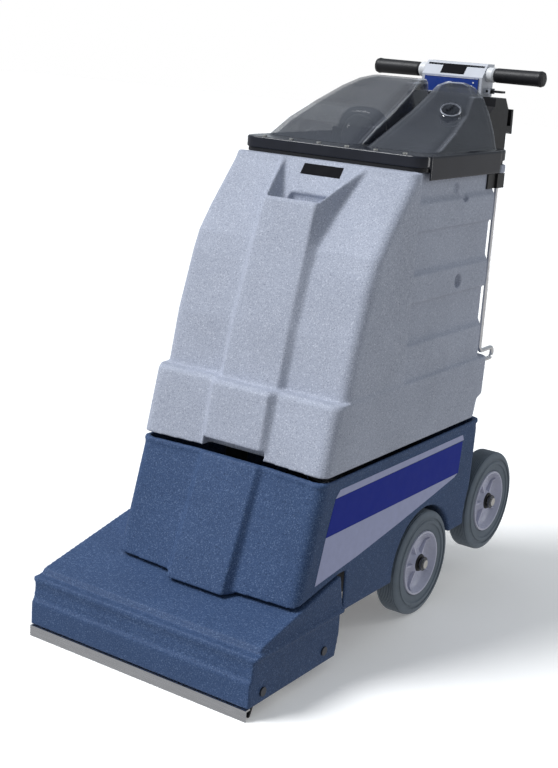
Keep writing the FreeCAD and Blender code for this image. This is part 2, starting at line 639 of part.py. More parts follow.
def tank_shell():
    half = size("Size.body_width / 2")
    radius = size("Size.corner_radius")
    bottom = size("Size.tank_bottom")
    band = size("Size.band_height")
    top = size("Size.tank_top")
    rear = size("Size.tank_rear")
    band_rear = size("Size.band_rear")
    foot_half = size("Size.panel_foot_half")
    face_half = size("Size.panel_half")
    wall = size("Size.wall + 1")
    # lower part, from the base up to the ledge of the band
    lower = bowed_block(half + 1.5, foot_half, [(186, bottom), (208, band - 3), (214, band + 3)],
                        [9 - radius, 14 - radius, 14 - radius],
                        [(band_rear - 2, band + 3), (band_rear, band - 3), (band_rear - 3, 386),
                         (rear + 10, 380), (rear, bottom)], radius)
    panel = [(bottom, face_half, 178, foot_half, 187), (band - 3, face_half, 195, foot_half, 209),
             (band + 3, face_half, 201, foot_half, 215)]
    body = lower.fuse(panel_block(panel))
    # upper part, stepping in above the band and bending back towards the rim
    upper = bowed_block(half - 1, foot_half, TANK_FRONT, [bow - radius for bow in TANK_BOW],
                        [(band_rear, top), (band_rear, BRACKET_HIGH), (rear, BRACKET_HIGH),
                         (rear, band)], radius)
    upper = upper.fuse(panel_block(PANEL_LEVELS))
    # recessed sides behind the front wrap, with three raised rib bands left standing
    beyond = half + 5
    for side in (-1, 1):
        upper = upper.cut(block(outward(side, half - BAND_DEPTH, beyond), (SEAM_Y, rear + 1),
                                (band + 4, top + 1)))
        gaps = zip([high for _, high in RIB_BANDS], [low for low, _ in RIB_BANDS[1:]] + [top + 1])
        for low, high in gaps:
            groove = [(half - BAND_DEPTH, low - 5), (half - GROOVE_DEPTH, low + 3),
                      (half - GROOVE_DEPTH, high), (beyond, high), (beyond, low - 5)]
            upper = upper.cut(prism_y([(side * x, z) for x, z in groove], SEAM_Y + 4, rear + 1))
        for y, z, reach, depth in SIDE_DIMPLES:
            upper = upper.cut(Part.makeCylinder(reach, 40, FreeCAD.Vector(side * (half - depth), y, z),
                                                FreeCAD.Vector(side, 0, 0)))
    body = body.fuse(upper)
    # hand pocket behind the panel's top edge, its finger slot, and the notch in the bottom edge
    pocket = upright_loft([(738, [(-44, 310), (44, 310), (44, 346), (-44, 346)]),
                           (top + 2, [(-80, 310), (80, 310), (80, 403), (-80, 403)])])
    body = body.cut(pocket).cut(block((-38, 38), (340, 366), (738, 758)))
    body = body.cut(block((-62, 62), (100, 206), (bottom - 1, bottom + 16)))
    # the two chambers, open at the top
    divider = size("Size.divider_x")
    for low, high in ((-half + SIDE_WALL, divider - 3), (divider + 3, half - SIDE_WALL)):
        front = [(y + FRONT_WALL, z) for y, z in TANK_FRONT]
        chamber = prism_x([(rear - wall, bottom + wall), (220, bottom + wall)] + front +
                          [(front[-1][0], top + 1), (rear - wall, top + 1)], low, high)
        body = body.cut(chamber)
    for x, y, reach in TANK_PORTS:
        body = body.cut(Part.makeCylinder(reach, 60, FreeCAD.Vector(x, y, bottom - 10)))
    drain = Part.makeCylinder(12, 60, FreeCAD.Vector(DRAIN_X, rear - 20, DRAIN_Z),
                              FreeCAD.Vector(0, 1, 0))
    return shaped("tank_shell", body.cut(drain).removeSplitter())


RECOVERY_TANK_Y = 262
VACUUM_X, VACUUM_Y = -50, 660
FLOAT_X, FLOAT_TOP = -118, 850           # the float cage hangs under the suction pipe's mouth
SOLUTION_X, SOLUTION_Y = 90, 640
DRAIN_X, DRAIN_Z = -135, 405
TANK_PORTS = [(RECOVERY_X, RECOVERY_TANK_Y, HOSE_RADIUS + 0.3),
              (VACUUM_X, VACUUM_Y, HOSE_RADIUS + 0.3), (SOLUTION_X, SOLUTION_Y, 8.3)]

node(tank_shell())


def recovery_pipe():
    """Standpipe that carries the dirty water up to a hooked outlet under the left dome."""
    low = size("Size.tank_bottom") + 1
    points = [(RECOVERY_X, RECOVERY_TANK_Y, low), (RECOVERY_X, 275, 430), (RECOVERY_X, 350, 610),
              (RECOVERY_X, 475, 740), (RECOVERY_X, 552, 800), (RECOVERY_X, 552, 866),
              (RECOVERY_X, 608, 866), (RECOVERY_X, 608, 826)]
    return shaped("recovery_pipe", pipe(points, 22, HOSE_RADIUS - 2, HOSE_RADIUS - 5))


def vacuum_pipe():
    """Upright suction pipe, hooked over at the top so that its mouth looks down."""
    points = [(VACUUM_X, VACUUM_Y, size("Size.tank_bottom") + 1), (VACUUM_X, VACUUM_Y, FLOAT_TOP + 24),
              (FLOAT_X, VACUUM_Y, FLOAT_TOP + 24), (FLOAT_X, VACUUM_Y, FLOAT_TOP)]
    return shaped("vacuum_pipe", pipe(points, 23, HOSE_RADIUS - 1, HOSE_RADIUS - 4))


def float_cage():
    """Slotted basket under the pipe's mouth; the ball rises in it and shuts the pipe."""
    down = FreeCAD.Vector(FLOAT_X, VACUUM_Y, FLOAT_TOP - 70)
    cage = Part.makeCylinder(CAGE_RADIUS, 70, down)
    cage = cage.cut(Part.makeCylinder(CAGE_RADIUS - 3, 64, down + FreeCAD.Vector(0, 0, 3)))
    cage = cage.cut(Part.makeCylinder(HOSE_RADIUS - 0.9, 20, down + FreeCAD.Vector(0, 0, 60)))
    for i in range(4):
        slot = block((-40, 40), (-5, 5), (14, 58))
        slot.Placement = FreeCAD.Placement(down, FreeCAD.Rotation(FreeCAD.Vector(0, 0, 1), 45 * i))
        cage = cage.cut(slot)
    return shaped("float_cage", cage)


CAGE_RADIUS = 28


def float_ball():
    ball = doc.addObject("Part::Sphere", "float_ball")
    ball.Radius = 20
    return move(ball, str(FLOAT_X), str(VACUUM_Y), str(FLOAT_TOP - 46.5))


def solution_strainer():
    """Mesh cylinder over the clean-water outlet in the right-hand chamber."""
    return tube("solution_strainer", "16", "12", "60", str(SOLUTION_X), str(SOLUTION_Y),
                "Size.tank_bottom + Size.wall + 1.3")


node(recovery_pipe())
node(vacuum_pipe())
node(float_cage())
node(float_ball())
node(solution_strainer())


def drain_valve():
    """Quarter-turn drain at the tank's rear, with its outlet looking backwards."""
    rear = size("Size.tank_rear")
    axis = FreeCAD.Vector(0, 1, 0)
    spigot = Part.makeCylinder(11.7, 37, FreeCAD.Vector(DRAIN_X, rear - 5, DRAIN_Z), axis)
    face = size("Size.band_rear") + 0.2
    housing = Part.makeCylinder(19, 34, FreeCAD.Vector(DRAIN_X, face, DRAIN_Z), axis)
    bore = Part.makeCylinder(DRAIN_BORE, 100, FreeCAD.Vector(DRAIN_X, rear - 20, DRAIN_Z), axis)
    stem_hole = Part.makeCylinder(5.05, 30, FreeCAD.Vector(DRAIN_X, DRAIN_STEM_Y, DRAIN_Z))
    return shaped("drain_valve", spigot.fuse(housing).cut(bore).cut(stem_hole))


DRAIN_BORE = 9
DRAIN_STEM_Y = 751


def drain_lever():
    stem = Part.makeCylinder(5, 14, FreeCAD.Vector(DRAIN_X, DRAIN_STEM_Y, DRAIN_Z + DRAIN_BORE + 1))
    paddle = block((DRAIN_X - 6, DRAIN_X + 44), (DRAIN_STEM_Y - 6, DRAIN_STEM_Y + 6),
                   (DRAIN_Z + 21, DRAIN_Z + 26))
    return shaped("drain_lever", stem.fuse(paddle))


node(drain_valve())
node(drain_lever())

# ---------------------------------------------------------------- lid

def rim_ring(name, outer_half, inner_half, front, rear, border, low, high):
    outer = Part.makeLoft([section_z(z, rounded_rectangle(outer_half, front, rear, 24))
                           for z in (low, high)], True, True)
    inner = Part.makeLoft([section_z(z, rounded_rectangle(inner_half, front + border, rear - border, 14))
                           for z in (low - 1, high + 1)], True, True)
    return shaped(name, outer.cut(inner))


def rounded_rectangle(half, front, rear, radius, centre=0):
    """Corner-rounded outline as (x, y) points, anticlockwise from the front left."""
    points = []
    corners = ((-half + radius, front + radius, 180), (half - radius, front + radius, 270),
               (half - radius, rear - radius, 0), (-half + radius, rear - radius, 90))
    for x, y, start in corners:
        for i in range(CORNER_STEPS + 1):
            turn = math.radians(start + 90 * i / CORNER_STEPS)
            points.append((centre + x + radius * math.cos(turn), y + radius * math.sin(turn)))
    return points


DOME_CORNER = 22

# each dome level by level: share of its height, inner front corner, outer front corner, outer rear
# corner (x outwards from the centre plane, y); the inner rear corner has the inner front's x and
# the rear's y. The left-hand dome is the wider one and reaches past the centre plane.
LEFT_DOME = [
    (0, (-30, 446), (166, 456), (171, 716)),
    (0.28, (-30, 500), (160, 512), (166, 714)),
    (0.55, (-29, 560), (152, 588), (158, 712)),
    (0.80, (-28, 610), (130, 640), (136, 708)),
    (0.94, (-26, 640), (104, 660), (108, 704)),
    (1, (-22, 660), (80, 672), (84, 698)),
]
RIGHT_DOME = [
    (0, (40, 446), (170, 462), (171, 716)),
    (0.28, (46, 508), (161, 538), (165, 713)),
    (0.55, (53, 560), (149, 606), (156, 708)),
    (0.80, (60, 606), (136, 652), (143, 702)),
    (0.94, (68, 636), (118, 676), (124, 694)),
    (1, (78, 652), (104, 672), (106, 684)),
]


def rounded_corners(corners, radius):
    """An outline (x, y) through corners, each rounded by an arc tangent to both of its sides."""
    points = []
    for i, here in enumerate(corners):
        corner = FreeCAD.Vector(*here, 0)
        before = (FreeCAD.Vector(*corners[i - 1], 0) - corner).normalize()
        after = (FreeCAD.Vector(*corners[(i + 1) % len(corners)], 0) - corner).normalize()
        half_angle = before.getAngle(after) / 2
        centre = corner + (before + after).normalize() * (radius / math.sin(half_angle))
        first = corner + before * (radius / math.tan(half_angle)) - centre
        sweep = math.pi - 2 * half_angle
        for step in range(CORNER_STEPS + 1):
            turn = FreeCAD.Rotation(FreeCAD.Vector(0, 0, 1), math.degrees(sweep) * step / CORNER_STEPS)
            point = centre + turn.multVec(first)
            points.append((point.x, point.y))
    return points


def dome(shape, inset):
    """A dome on the positive side: its front slopes back, its outer corner further than its inner."""
    top = size("Size.dome_top") - inset
    # the hollow starts lower than the dome, so that it opens through the flange below it
    foot = size("Size.tank_top + Size.gasket_thickness + Size.lid_rim_height") - 1 - 2 * inset
    levels = []
    for share, inner, outer, rear in shape:
        z = foot + share * (top - foot)
        corners = [(inner[0] + inset, inner[1] + inset), (outer[0] - inset, outer[1] + inset),
                   (rear[0] - inset, rear[1] - inset), (inner[0] + inset, rear[1] - inset)]
        shortest = min(outer[0] - inner[0], rear[1] - outer[1]) - 2 * inset
        levels.append((z, rounded_corners(corners, min(DOME_CORNER, 0.36 * shortest))))
    return upright_loft(levels)


def lid_dome():
    """Clear moulding: flange, down-turned rim and two domes with a valley between them."""
    low = size("Size.tank_top + Size.gasket_thickness")
    thick = size("Size.flange_thickness")
    rim = size("Size.lid_rim_height")
    half = size("Size.lid_half")
    front, rear = size("Size.lid_front"), size("Size.lid_rear")
    wall = size("Size.dome_wall")
    plate = Part.makeLoft([section_z(z, rounded_rectangle(half, front, rear, 24))
                           for z in (low + 0.3, low + rim)], True, True)
    under = Part.makeLoft([section_z(z, rounded_rectangle(half - wall - 12, front + 12, rear - 12, 16))
                           for z in (low - 1, low + rim - thick)], True, True)
    shell = plate.cut(under)
    domes = dome(RIGHT_DOME, 0).fuse(mirrored(dome(LEFT_DOME, 0)))
    hollows = dome(RIGHT_DOME, wall).fuse(mirrored(dome(LEFT_DOME, wall)))
    shell = shell.fuse(domes).cut(hollows)
    # side skirts that hang over the tank's shoulders behind the front corners
    skirt_rear = size("Size.tank_rear") - 2
    skirt = block((-half - 2, half + 2), (front + 26, skirt_rear), (low - 20, low + rim))
    skirt = skirt.cut(block((-half + 1, half - 1), (front, rear), (low - 21, low + rim + 1)))
    shell = shell.fuse(skirt)
    inward = PORT_AT - PORT_AXIS * 20
    shell = shell.fuse(Part.makeCylinder(PORT_RADIUS + 3, 26, inward, PORT_AXIS))
    bore = Part.makeCylinder(PORT_RADIUS, 70, PORT_AT - PORT_AXIS * 40, PORT_AXIS)
    return shaped("lid_dome", shell.cut(bore).removeSplitter())


PORT_RADIUS = 15.5
PORT_AT = FreeCAD.Vector(124, 600, 902)
PORT_AXIS = FreeCAD.Vector(0.24, -0.5, 0.83).normalize()
SCREW_X = [-140, -84, -28, 28, 84, 140]


def fill_cap():
    """Round cap that plugs the filling hole in the right-hand dome."""
    plug = Part.makeCylinder(PORT_RADIUS - 0.4, 18, PORT_AT - PORT_AXIS * 11.7, PORT_AXIS)
    head = Part.makeCylinder(PORT_RADIUS + 3, 4, PORT_AT + PORT_AXIS * 6.3, PORT_AXIS)
    tab = block((-3, 3), (-13, 13), (0, 5))
    tab.Placement = FreeCAD.Placement(PORT_AT + PORT_AXIS * 9.3,
                                      FreeCAD.Rotation(FreeCAD.Vector(0, 0, 1), PORT_AXIS))
    return shaped("fill_cap", plug.fuse(head).fuse(tab))


def lid_screws():
    height = size("Size.tank_top + Size.gasket_thickness + Size.lid_rim_height")
    screws = []
    for y in (size("Size.lid_front") + 10, size("Size.lid_rear") - 8):
        for x in SCREW_X:
            screws.append(Part.makeCylinder(4, 2.5, FreeCAD.Vector(x, y, height)))
    return shaped("lid_screws", Part.makeCompound(screws))


node(rim_ring("tank_gasket", size("Size.lid_half") - 2, size("Size.lid_half") - 14,
              size("Size.lid_front") + 2, size("Size.lid_rear") - 4, 10,
              size("Size.tank_top"), size("Size.tank_top + Size.gasket_thickness")))
node(lid_dome())
node(lid_screws())
node(fill_cap())

# ---------------------------------------------------------------- tank hinge

HINGE_Y, HINGE_Z = 742, 341
PIN_RADIUS, KNUCKLE_RADIUS = 4, 7
BASE_KNUCKLES = [(-140, -100.3), (-20, 20), (100.3, 140)]
TANK_KNUCKLES = [(-100, -20.3), (20.3, 100)]


def knuckles(spans):
    axis = FreeCAD.Vector(1, 0, 0)
    rolls = [Part.makeCylinder(KNUCKLE_RADIUS, high - low, FreeCAD.Vector(low, HINGE_Y, HINGE_Z), axis)
             for low, high in spans]
    return rolls, Part.makeCylinder(PIN_RADIUS + 0.05, 300, FreeCAD.Vector(-150, HINGE_Y, HINGE_Z), axis)


def hinge_leaf_base():
    rolls, bore = knuckles(BASE_KNUCKLES)
    wall = size("Size.base_rear") + 7.2
    leaf = block((-140, 140), (wall, wall + 3), (296, 326))
    for low, high in BASE_KNUCKLES:
        leaf = leaf.fuse(block((low, high), (wall, HINGE_Y), (320, HINGE_Z - 3)))
    for roll in rolls:
        leaf = leaf.fuse(roll)
    return shaped("hinge_leaf_base", leaf.cut(bore))


def hinge_leaf_tank():
    rolls, bore = knuckles(TANK_KNUCKLES)
    wall = size("Size.band_rear") + 0.2
    leaf = block((-100, 100), (wall, wall + 3), (386, 436))
    for low, high in TANK_KNUCKLES:
        leaf = leaf.fuse(block((low, high), (wall, wall + 3), (HINGE_Z, 388)))
        leaf = leaf.fuse(block((low, high), (wall, HINGE_Y), (HINGE_Z + 3, HINGE_Z + 6)))
    for roll in rolls:
        leaf = leaf.fuse(roll)
    return shaped("hinge_leaf_tank", leaf.cut(bore))


node(hinge_leaf_base())
node(hinge_leaf_tank())
node(rod("hinge_pin", str(PIN_RADIUS), "284", "-142", str(HINGE_Y), str(HINGE_Z), "x"))

# ---------------------------------------------------------------- handle

def handle_bracket():
    """Steel strap round the tank's rear under the lid, which carries the column and side rails."""
    half = size("Size.body_width / 2")
    rear = size("Size.tank_rear")
    side_face = half - GROOVE_DEPTH
    strap = block((-side_face - 3, side_face + 3), (rear + 0.2, rear + 4),
                  (BRACKET_LOW, BRACKET_HIGH - 1))
    for side in (-1, 1):
        strap = strap.fuse(block(outward(side, side_face + 0.2, side_face + 3), (672, rear + 4),
                                 (BRACKET_LOW, BRACKET_HIGH - 1)))
        strap = strap.fuse(block(outward(side, size("Size.rail_x") - 8, half - 6),
                                 (rear + 0.2, size("Size.rail_y") + 8),
                                 (BRACKET_LOW, BRACKET_HIGH - 1)))
        bore = Part.makeCylinder(size("Size.rail_radius"), 60,
                                 FreeCAD.Vector(side * size("Size.rail_x"), size("Size.rail_y"), 750))
        strap = strap.cut(bore)
    return shaped("handle_bracket", strap)


HOOK_LOW, HOOK_HIGH, HOOK_REACH = 444, 464, 778


def side_rail(side):
    """Chrome rod down the tank's rear corner, bent into a cord hook at its foot."""
    x = size("Size.rail_x") * (1 if side == "right" else -1)
    y = size("Size.rail_y")
    rear = size("Size.band_rear")
    points = [(x, y, BRACKET_HIGH - 2), (x, y, HOOK_HIGH), (x, HOOK_REACH, HOOK_HIGH),
              (x, HOOK_REACH, HOOK_LOW), (x, rear + 1, HOOK_LOW)]
    return pipe(points, 9.5, size("Size.rail_radius"))


def handle_column():
    """Black hollow-moulded column behind the tank, closed all round, carrying the console."""
    half = size("Size.column_half")
    rear = size("Size.column_rear")
    front = size("Size.lid_rear") + 4
    foot_rear = size("Size.tank_rear") + 98
    # (y, z) corners, clockwise from the front foot
    outline = [(front, 600), (front, 845), (size("Size.console_front") + 4, 905),
               (size("Size.console_front") + 4, 920.5), (rear - 16, 920.5), (rear, 900),
               (rear, 815), (foot_rear, 640), (foot_rear - 20, 600)]
    body = prism_x(outline, -half, half)
    face = Part.Face(section_x(-half + 4, outline)).makeOffset2D(-4)
    hollow = face.extrude(FreeCAD.Vector(2 * half - 8, 0, 0))
    bridge = block((-60, 60), (size("Size.tank_rear") + 0.2, front), (610, 700))
    column = body.cut(hollow).fuse(bridge)
    gland_hole = Part.makeCylinder(10.1, 40, FreeCAD.Vector(*CORD_INLET), FreeCAD.Vector(0, 1, 0))
    return shaped("handle_column", column.cut(gland_hole))


CORD_INLET = (-55, 880, 840)


def hooks():
    """Two upright prongs on the column's back that the mains cord is wound round."""
    half = size("Size.column_half")
    upper = prism_x([(896.2, 858), (922, 852), (919, 899), (911, 899), (913, 868), (896.2, 868)],
                    half - 28, half)
    return shaped("cord_hooks", Part.makeCompound([upper, mirrored(upper)]))


def cord_inlet():
    """Gland for the mains cord, with its bore left open."""
    x, y, z = CORD_INLET
    axis = FreeCAD.Vector(0, 1, 0)
    rear = size("Size.column_rear")
    sleeve = Part.makeCylinder(10, rear - y + 8, FreeCAD.Vector(x, y, z), axis)
    collar = Part.makeCylinder(15, 6, FreeCAD.Vector(x, rear + 0.2, z), axis)
    bore = Part.makeCylinder(4.5, 60, FreeCAD.Vector(x, y - 5, z), axis)
    return shaped("cord_inlet", sleeve.fuse(collar).cut(bore))


node(handle_bracket())
node(shaped("side_rails", Part.makeCompound([side_rail("left"), side_rail("right")])))
node(handle_column())
node(hooks())
node(cord_inlet())


def console_box():
    """Light console: upright front with a sloping top edge, hollow, on the column."""
    front, rear = "Size.console_front", "Size.console_rear"
    low, high = "Size.console_bottom", "Size.console_top"
    body = extruded("console_body", [(front, low), (rear, low), (rear, high), (f"{front} + 20", high),
                                     (front, f"{high} - 25")], "2 * Size.console_half")
    hollow = box("console_hollow", "2 * Size.console_half - 8", f"{rear} - {front} - 28",
                 f"{high} - {low} - 8", "-Size.console_half + 4", f"{front} + 14", f"{low} + 4")
    bar = rod("console_bar_hole", "Size.bar_radius + 0.05", "200", "-100", "Size.grip_y",
              "Size.grip_z", "x")
    openings = [bar]
    for name, x in ROCKERS:
        openings.append(box(f"rocker_pocket_{name}", "14", "14", "24", str(x - 7), f"{rear} - 12",
                            f"{ROCKER_Z} - 12"))
        openings.append(rod(f"rocker_pin_hole_{name}", "1.55", "18", str(x - 9), f"{rear} - 3",
                            str(ROCKER_Z), "x"))
    openings.append(rod("knob_shaft_hole", "2.55", "13", "0", f"{front} - 1", str(KNOB_Z), "y"))
    ears = [box(f"lever_ear_{i}", "12", "3", "10", str(EAR_X), f"Size.grip_y + {y}", str(LEVER_Z - 5))
            for i, y in enumerate((-11, 8))]
    openings.append(rod("lever_bore", "2.5", "40", str(EAR_X + 6), "Size.grip_y - 20", str(LEVER_Z),
                        "y"))
    body = fuse("console_with_ears", [cut("console_blank", body, hollow)] + ears)
    return cut("console_shell", body, fuse("console_openings", openings))


ROCKERS = [("vacuum", -25), ("brush", 25)]
ROCKER_Z = 952
EAR_X = 64
LEVER_Z = 932


def rocker(name, x):
    """Rocker switch let into the console's rear face."""
    y = size("Size.console_rear")
    outline = [(y - 8, ROCKER_Z - 8), (y + 3, ROCKER_Z - 10), (y + 1, ROCKER_Z), (y + 3, ROCKER_Z + 10),
               (y - 8, ROCKER_Z + 8)]
    pin = Part.makeCylinder(1.5, 17, FreeCAD.Vector(x - 8.5, y - 3, ROCKER_Z), FreeCAD.Vector(1, 0, 0))
    return shaped(f"rocker_{name}", prism_x(outline, x - 6.5, x + 6.5).fuse(pin))


def finger_lever():
    """Short lever under the right-hand grip, turning on a trunnion between the console's two ears."""
    y = size("Size.grip_y")
    pivot = EAR_X + 6
    lever = block((pivot, pivot + 30), (y - 7, y + 7), (LEVER_Z - 2, LEVER_Z + 2))
    roll = Part.makeCylinder(4, 14, FreeCAD.Vector(pivot, y - 7, LEVER_Z), FreeCAD.Vector(0, 1, 0))
    pin = Part.makeCylinder(2.45, 21.6, FreeCAD.Vector(pivot, y - 10.8, LEVER_Z),
                            FreeCAD.Vector(0, 1, 0))
    return shaped("finger_lever", lever.fuse(roll).fuse(pin))


def console_panel():
    """Blue control panel on the console's upright face, with a raised ring round the knob."""
    front = size("Size.console_front")
    panel = block((-57, 57), (front - 2.2, front - 0.1), (923, 954))
    ring = Part.makeCylinder(9.5, 2, FreeCAD.Vector(0, front - 4.2, KNOB_Z), FreeCAD.Vector(0, 1, 0))
    bore = Part.makeCylinder(7.3, 10, FreeCAD.Vector(0, front - 8, KNOB_Z), FreeCAD.Vector(0, 1, 0))
    return shaped("console_panel", panel.fuse(ring).cut(bore))


KNOB_Z = 938


def selector_knob():
    front = size("Size.console_front")
    axis = FreeCAD.Vector(0, 1, 0)
    knob = Part.makeCylinder(7, 9, FreeCAD.Vector(0, front - 9.4, KNOB_Z), axis)
    bar = block((-1.2, 1.2), (front - 12, front - 9), (KNOB_Z - 6.5, KNOB_Z + 6.5))
    shaft = Part.makeCylinder(2.5, 11, FreeCAD.Vector(0, front - 1, KNOB_Z), axis)
    return shaped("selector_knob", knob.fuse(bar).fuse(shaft))


def handle_bar():
    reach = "(Size.console_half + Size.collar_length + Size.grip_length - 4)"
    return rod("handle_bar", "Size.bar_radius", f"2 * {reach}", f"-{reach}", "Size.grip_y",
               "Size.grip_z", "x")


def grip(name):
    """Rubber grip with a rolled end, closed over the bar's end."""
    length, radius = "Size.grip_length", "Size.grip_radius"
    return turned(name, [
        ("0.3", "Size.bar_radius + 0.02"), (f"{length} - 3.7", "Size.bar_radius + 0.02"),
        (f"{length} - 3.7", "0"), (length, "0"), (length, f"{radius} - 5"),
        (f"{length} - 2", f"{radius} - 1"), (f"{length} - 7", f"{radius} + 0.8"),
        (f"{length} - 14", radius), ("4", f"{radius} - 0.5"), ("0.3", f"{radius} - 1.5")])


def collar(name):
    length = "Size.collar_length"
    return turned(name, [("0.2", "Size.bar_radius + 0.02"), (length, "Size.bar_radius + 0.02"),
                         (length, "Size.grip_radius - 2"), (f"{length} - 3", "Size.grip_radius"),
                         ("3", "Size.grip_radius"), ("0.2", "Size.grip_radius - 1")])


node(console_box())
node(handle_bar())
collars, grips = [], []
for side, sign, turn in (("left", "-", 180), ("right", "", 0)):
    collars.append(move(collar(f"collar_{side}"), f"{sign}Size.console_half", "Size.grip_y",
                        "Size.grip_z", (0, 0, 1), turn))
    grips.append(move(grip(f"grip_{side}"), f"{sign}(Size.console_half + Size.collar_length)",
                      "Size.grip_y", "Size.grip_z", (0, 0, 1), turn))
node(group("grip_collars", collars))
node(group("handle_grips", grips))
node(console_panel())
node(selector_knob())
for name, x in ROCKERS:
    node(rocker(name, x))
node(finger_lever())

# ---------------------------------------------------------------- machinery inside the base

MOTOR_X, MOTOR_Y = -58, 645


def vacuum_motor():
    """Two-stage blower standing on the chassis, outlet on top."""
    floor = size("Size.pan_height") + 3.3
    fan = Part.makeCylinder(66, 60, FreeCAD.Vector(MOTOR_X, MOTOR_Y, floor))
    armature = Part.makeCylinder(48, 60, FreeCAD.Vector(MOTOR_X, MOTOR_Y, floor + 60))
    crown = Part.makeCylinder(26, 20, FreeCAD.Vector(VACUUM_X, VACUUM_Y - 6, floor + 120))
    return shaped("vacuum_motor", fan.fuse(armature).fuse(crown))


def solution_pump():
    """Diaphragm pump: a block head with a round motor behind it."""
    floor = size("Size.pan_height") + 3.3
    head = block((40, 110), (640, 706), (floor, floor + 70))
    motor = Part.makeCylinder(29, 90, FreeCAD.Vector(75, 550.5, floor + 34), FreeCAD.Vector(0, 1, 0))
    return shaped("solution_pump", head.fuse(motor))


def base_hoses():
    """Recovery hose, suction hose, tank outlet line and spray line, each a separate piece."""
    top = size("Size.tank_bottom") - 2
    floor = size("Size.pan_height") + 3.3
    recovery = pipe([(RECOVERY_X, RECOVERY_DECK_Y, 138), (RECOVERY_X, RECOVERY_DECK_Y, 178),
                     (RECOVERY_X, RECOVERY_TANK_Y, 300), (RECOVERY_X, RECOVERY_TANK_Y, top)],
                    40, HOSE_RADIUS, HOSE_RADIUS - 3)
    suction = Part.makeCylinder(HOSE_RADIUS, top - floor - 140.2,
                                FreeCAD.Vector(VACUUM_X, VACUUM_Y, floor + 140.2))
    outlet = Part.makeCylinder(LINE_RADIUS, top - floor - 70.2,
                               FreeCAD.Vector(SOLUTION_X, SOLUTION_Y + 12, floor + 70.2))
    spray = pipe([(LINE_X, 639.8, 186), (LINE_X, size("Size.manifold_y"), 186),
                  (LINE_X, size("Size.manifold_y"), size("Size.manifold_z + Size.manifold_radius") + 0.2)],
                 30, LINE_RADIUS)
    return shaped("base_hoses", Part.makeCompound([recovery, suction, outlet, spray]))


def spray_bar():
    """Pipe along the rear of the hood with downward nozzles."""
    pieces = [rod("spray_pipe", "Size.manifold_radius", "360", "-225", "Size.manifold_y",
                  "Size.manifold_z", "x")]
    for i in range(4):
        pieces.append(rod(f"spray_nozzle_{i + 1}", "Size.nozzle_radius", "20",
                          f"-180 + {i} * Size.nozzle_pitch", "Size.manifold_y",
                          "Size.manifold_z - 24"))
    return fuse("spray_bar", pieces)


node(vacuum_motor())
node(solution_pump())
node(base_hoses())
node(spray_bar())

# ---------------------------------------------------------------- finish

def write_parts():
    doc.recompute()
    for old in os.listdir("parts"):
        os.remove(os.path.join("parts", old))
    for thing in doc.Objects:
        assert not {"Invalid", "Error"} & set(thing.State), f"{thing.Name} failed: {thing.State}"
    for piece in NODES:
        assert not piece.Shape.isNull() and piece.Shape.isValid(), f"{piece.Name} is not valid"
        piece.Shape.exportStep(f"parts/{piece.Label}.step")
        print(f"{piece.Label}: {len(piece.Shape.Solids)} solid(s), {piece.Shape.Volume / 1000:.1f} cm3")


write_parts()
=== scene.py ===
import json
import math
import random

import bmesh
import bpy
from mathutils import Matrix, Vector


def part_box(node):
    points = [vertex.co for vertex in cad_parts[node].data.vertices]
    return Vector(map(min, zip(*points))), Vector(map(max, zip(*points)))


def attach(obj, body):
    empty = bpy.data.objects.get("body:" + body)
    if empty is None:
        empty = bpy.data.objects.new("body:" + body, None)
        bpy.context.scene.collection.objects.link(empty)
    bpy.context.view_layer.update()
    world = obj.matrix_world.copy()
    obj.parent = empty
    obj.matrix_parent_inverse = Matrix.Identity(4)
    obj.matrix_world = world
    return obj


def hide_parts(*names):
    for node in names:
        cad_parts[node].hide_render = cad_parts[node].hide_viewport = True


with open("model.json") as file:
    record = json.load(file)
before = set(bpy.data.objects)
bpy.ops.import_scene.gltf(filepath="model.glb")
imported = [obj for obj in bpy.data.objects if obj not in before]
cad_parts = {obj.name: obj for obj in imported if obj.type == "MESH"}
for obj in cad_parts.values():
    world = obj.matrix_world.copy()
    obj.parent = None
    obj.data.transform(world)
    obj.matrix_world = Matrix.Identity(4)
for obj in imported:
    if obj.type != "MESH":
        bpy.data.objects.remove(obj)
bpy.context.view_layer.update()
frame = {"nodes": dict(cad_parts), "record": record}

# Looks of a walk-behind carpet cleaner: speckled blue and grey rotomoulded shells, a smoked clear
# lid with two domes, grey ribbed tyres, chrome rails and a black handle column. Metres, CAD frame.

NODES = frame["nodes"]
BODY_OF = {node: body for body, nodes in frame["record"]["behaviour"]["bodies"].items() for node in nodes}
SLOT_OF = {part["node"]: part["material_slot"] for part in frame["record"]["subparts"]}


# ---------------------------------------------------------------- material building

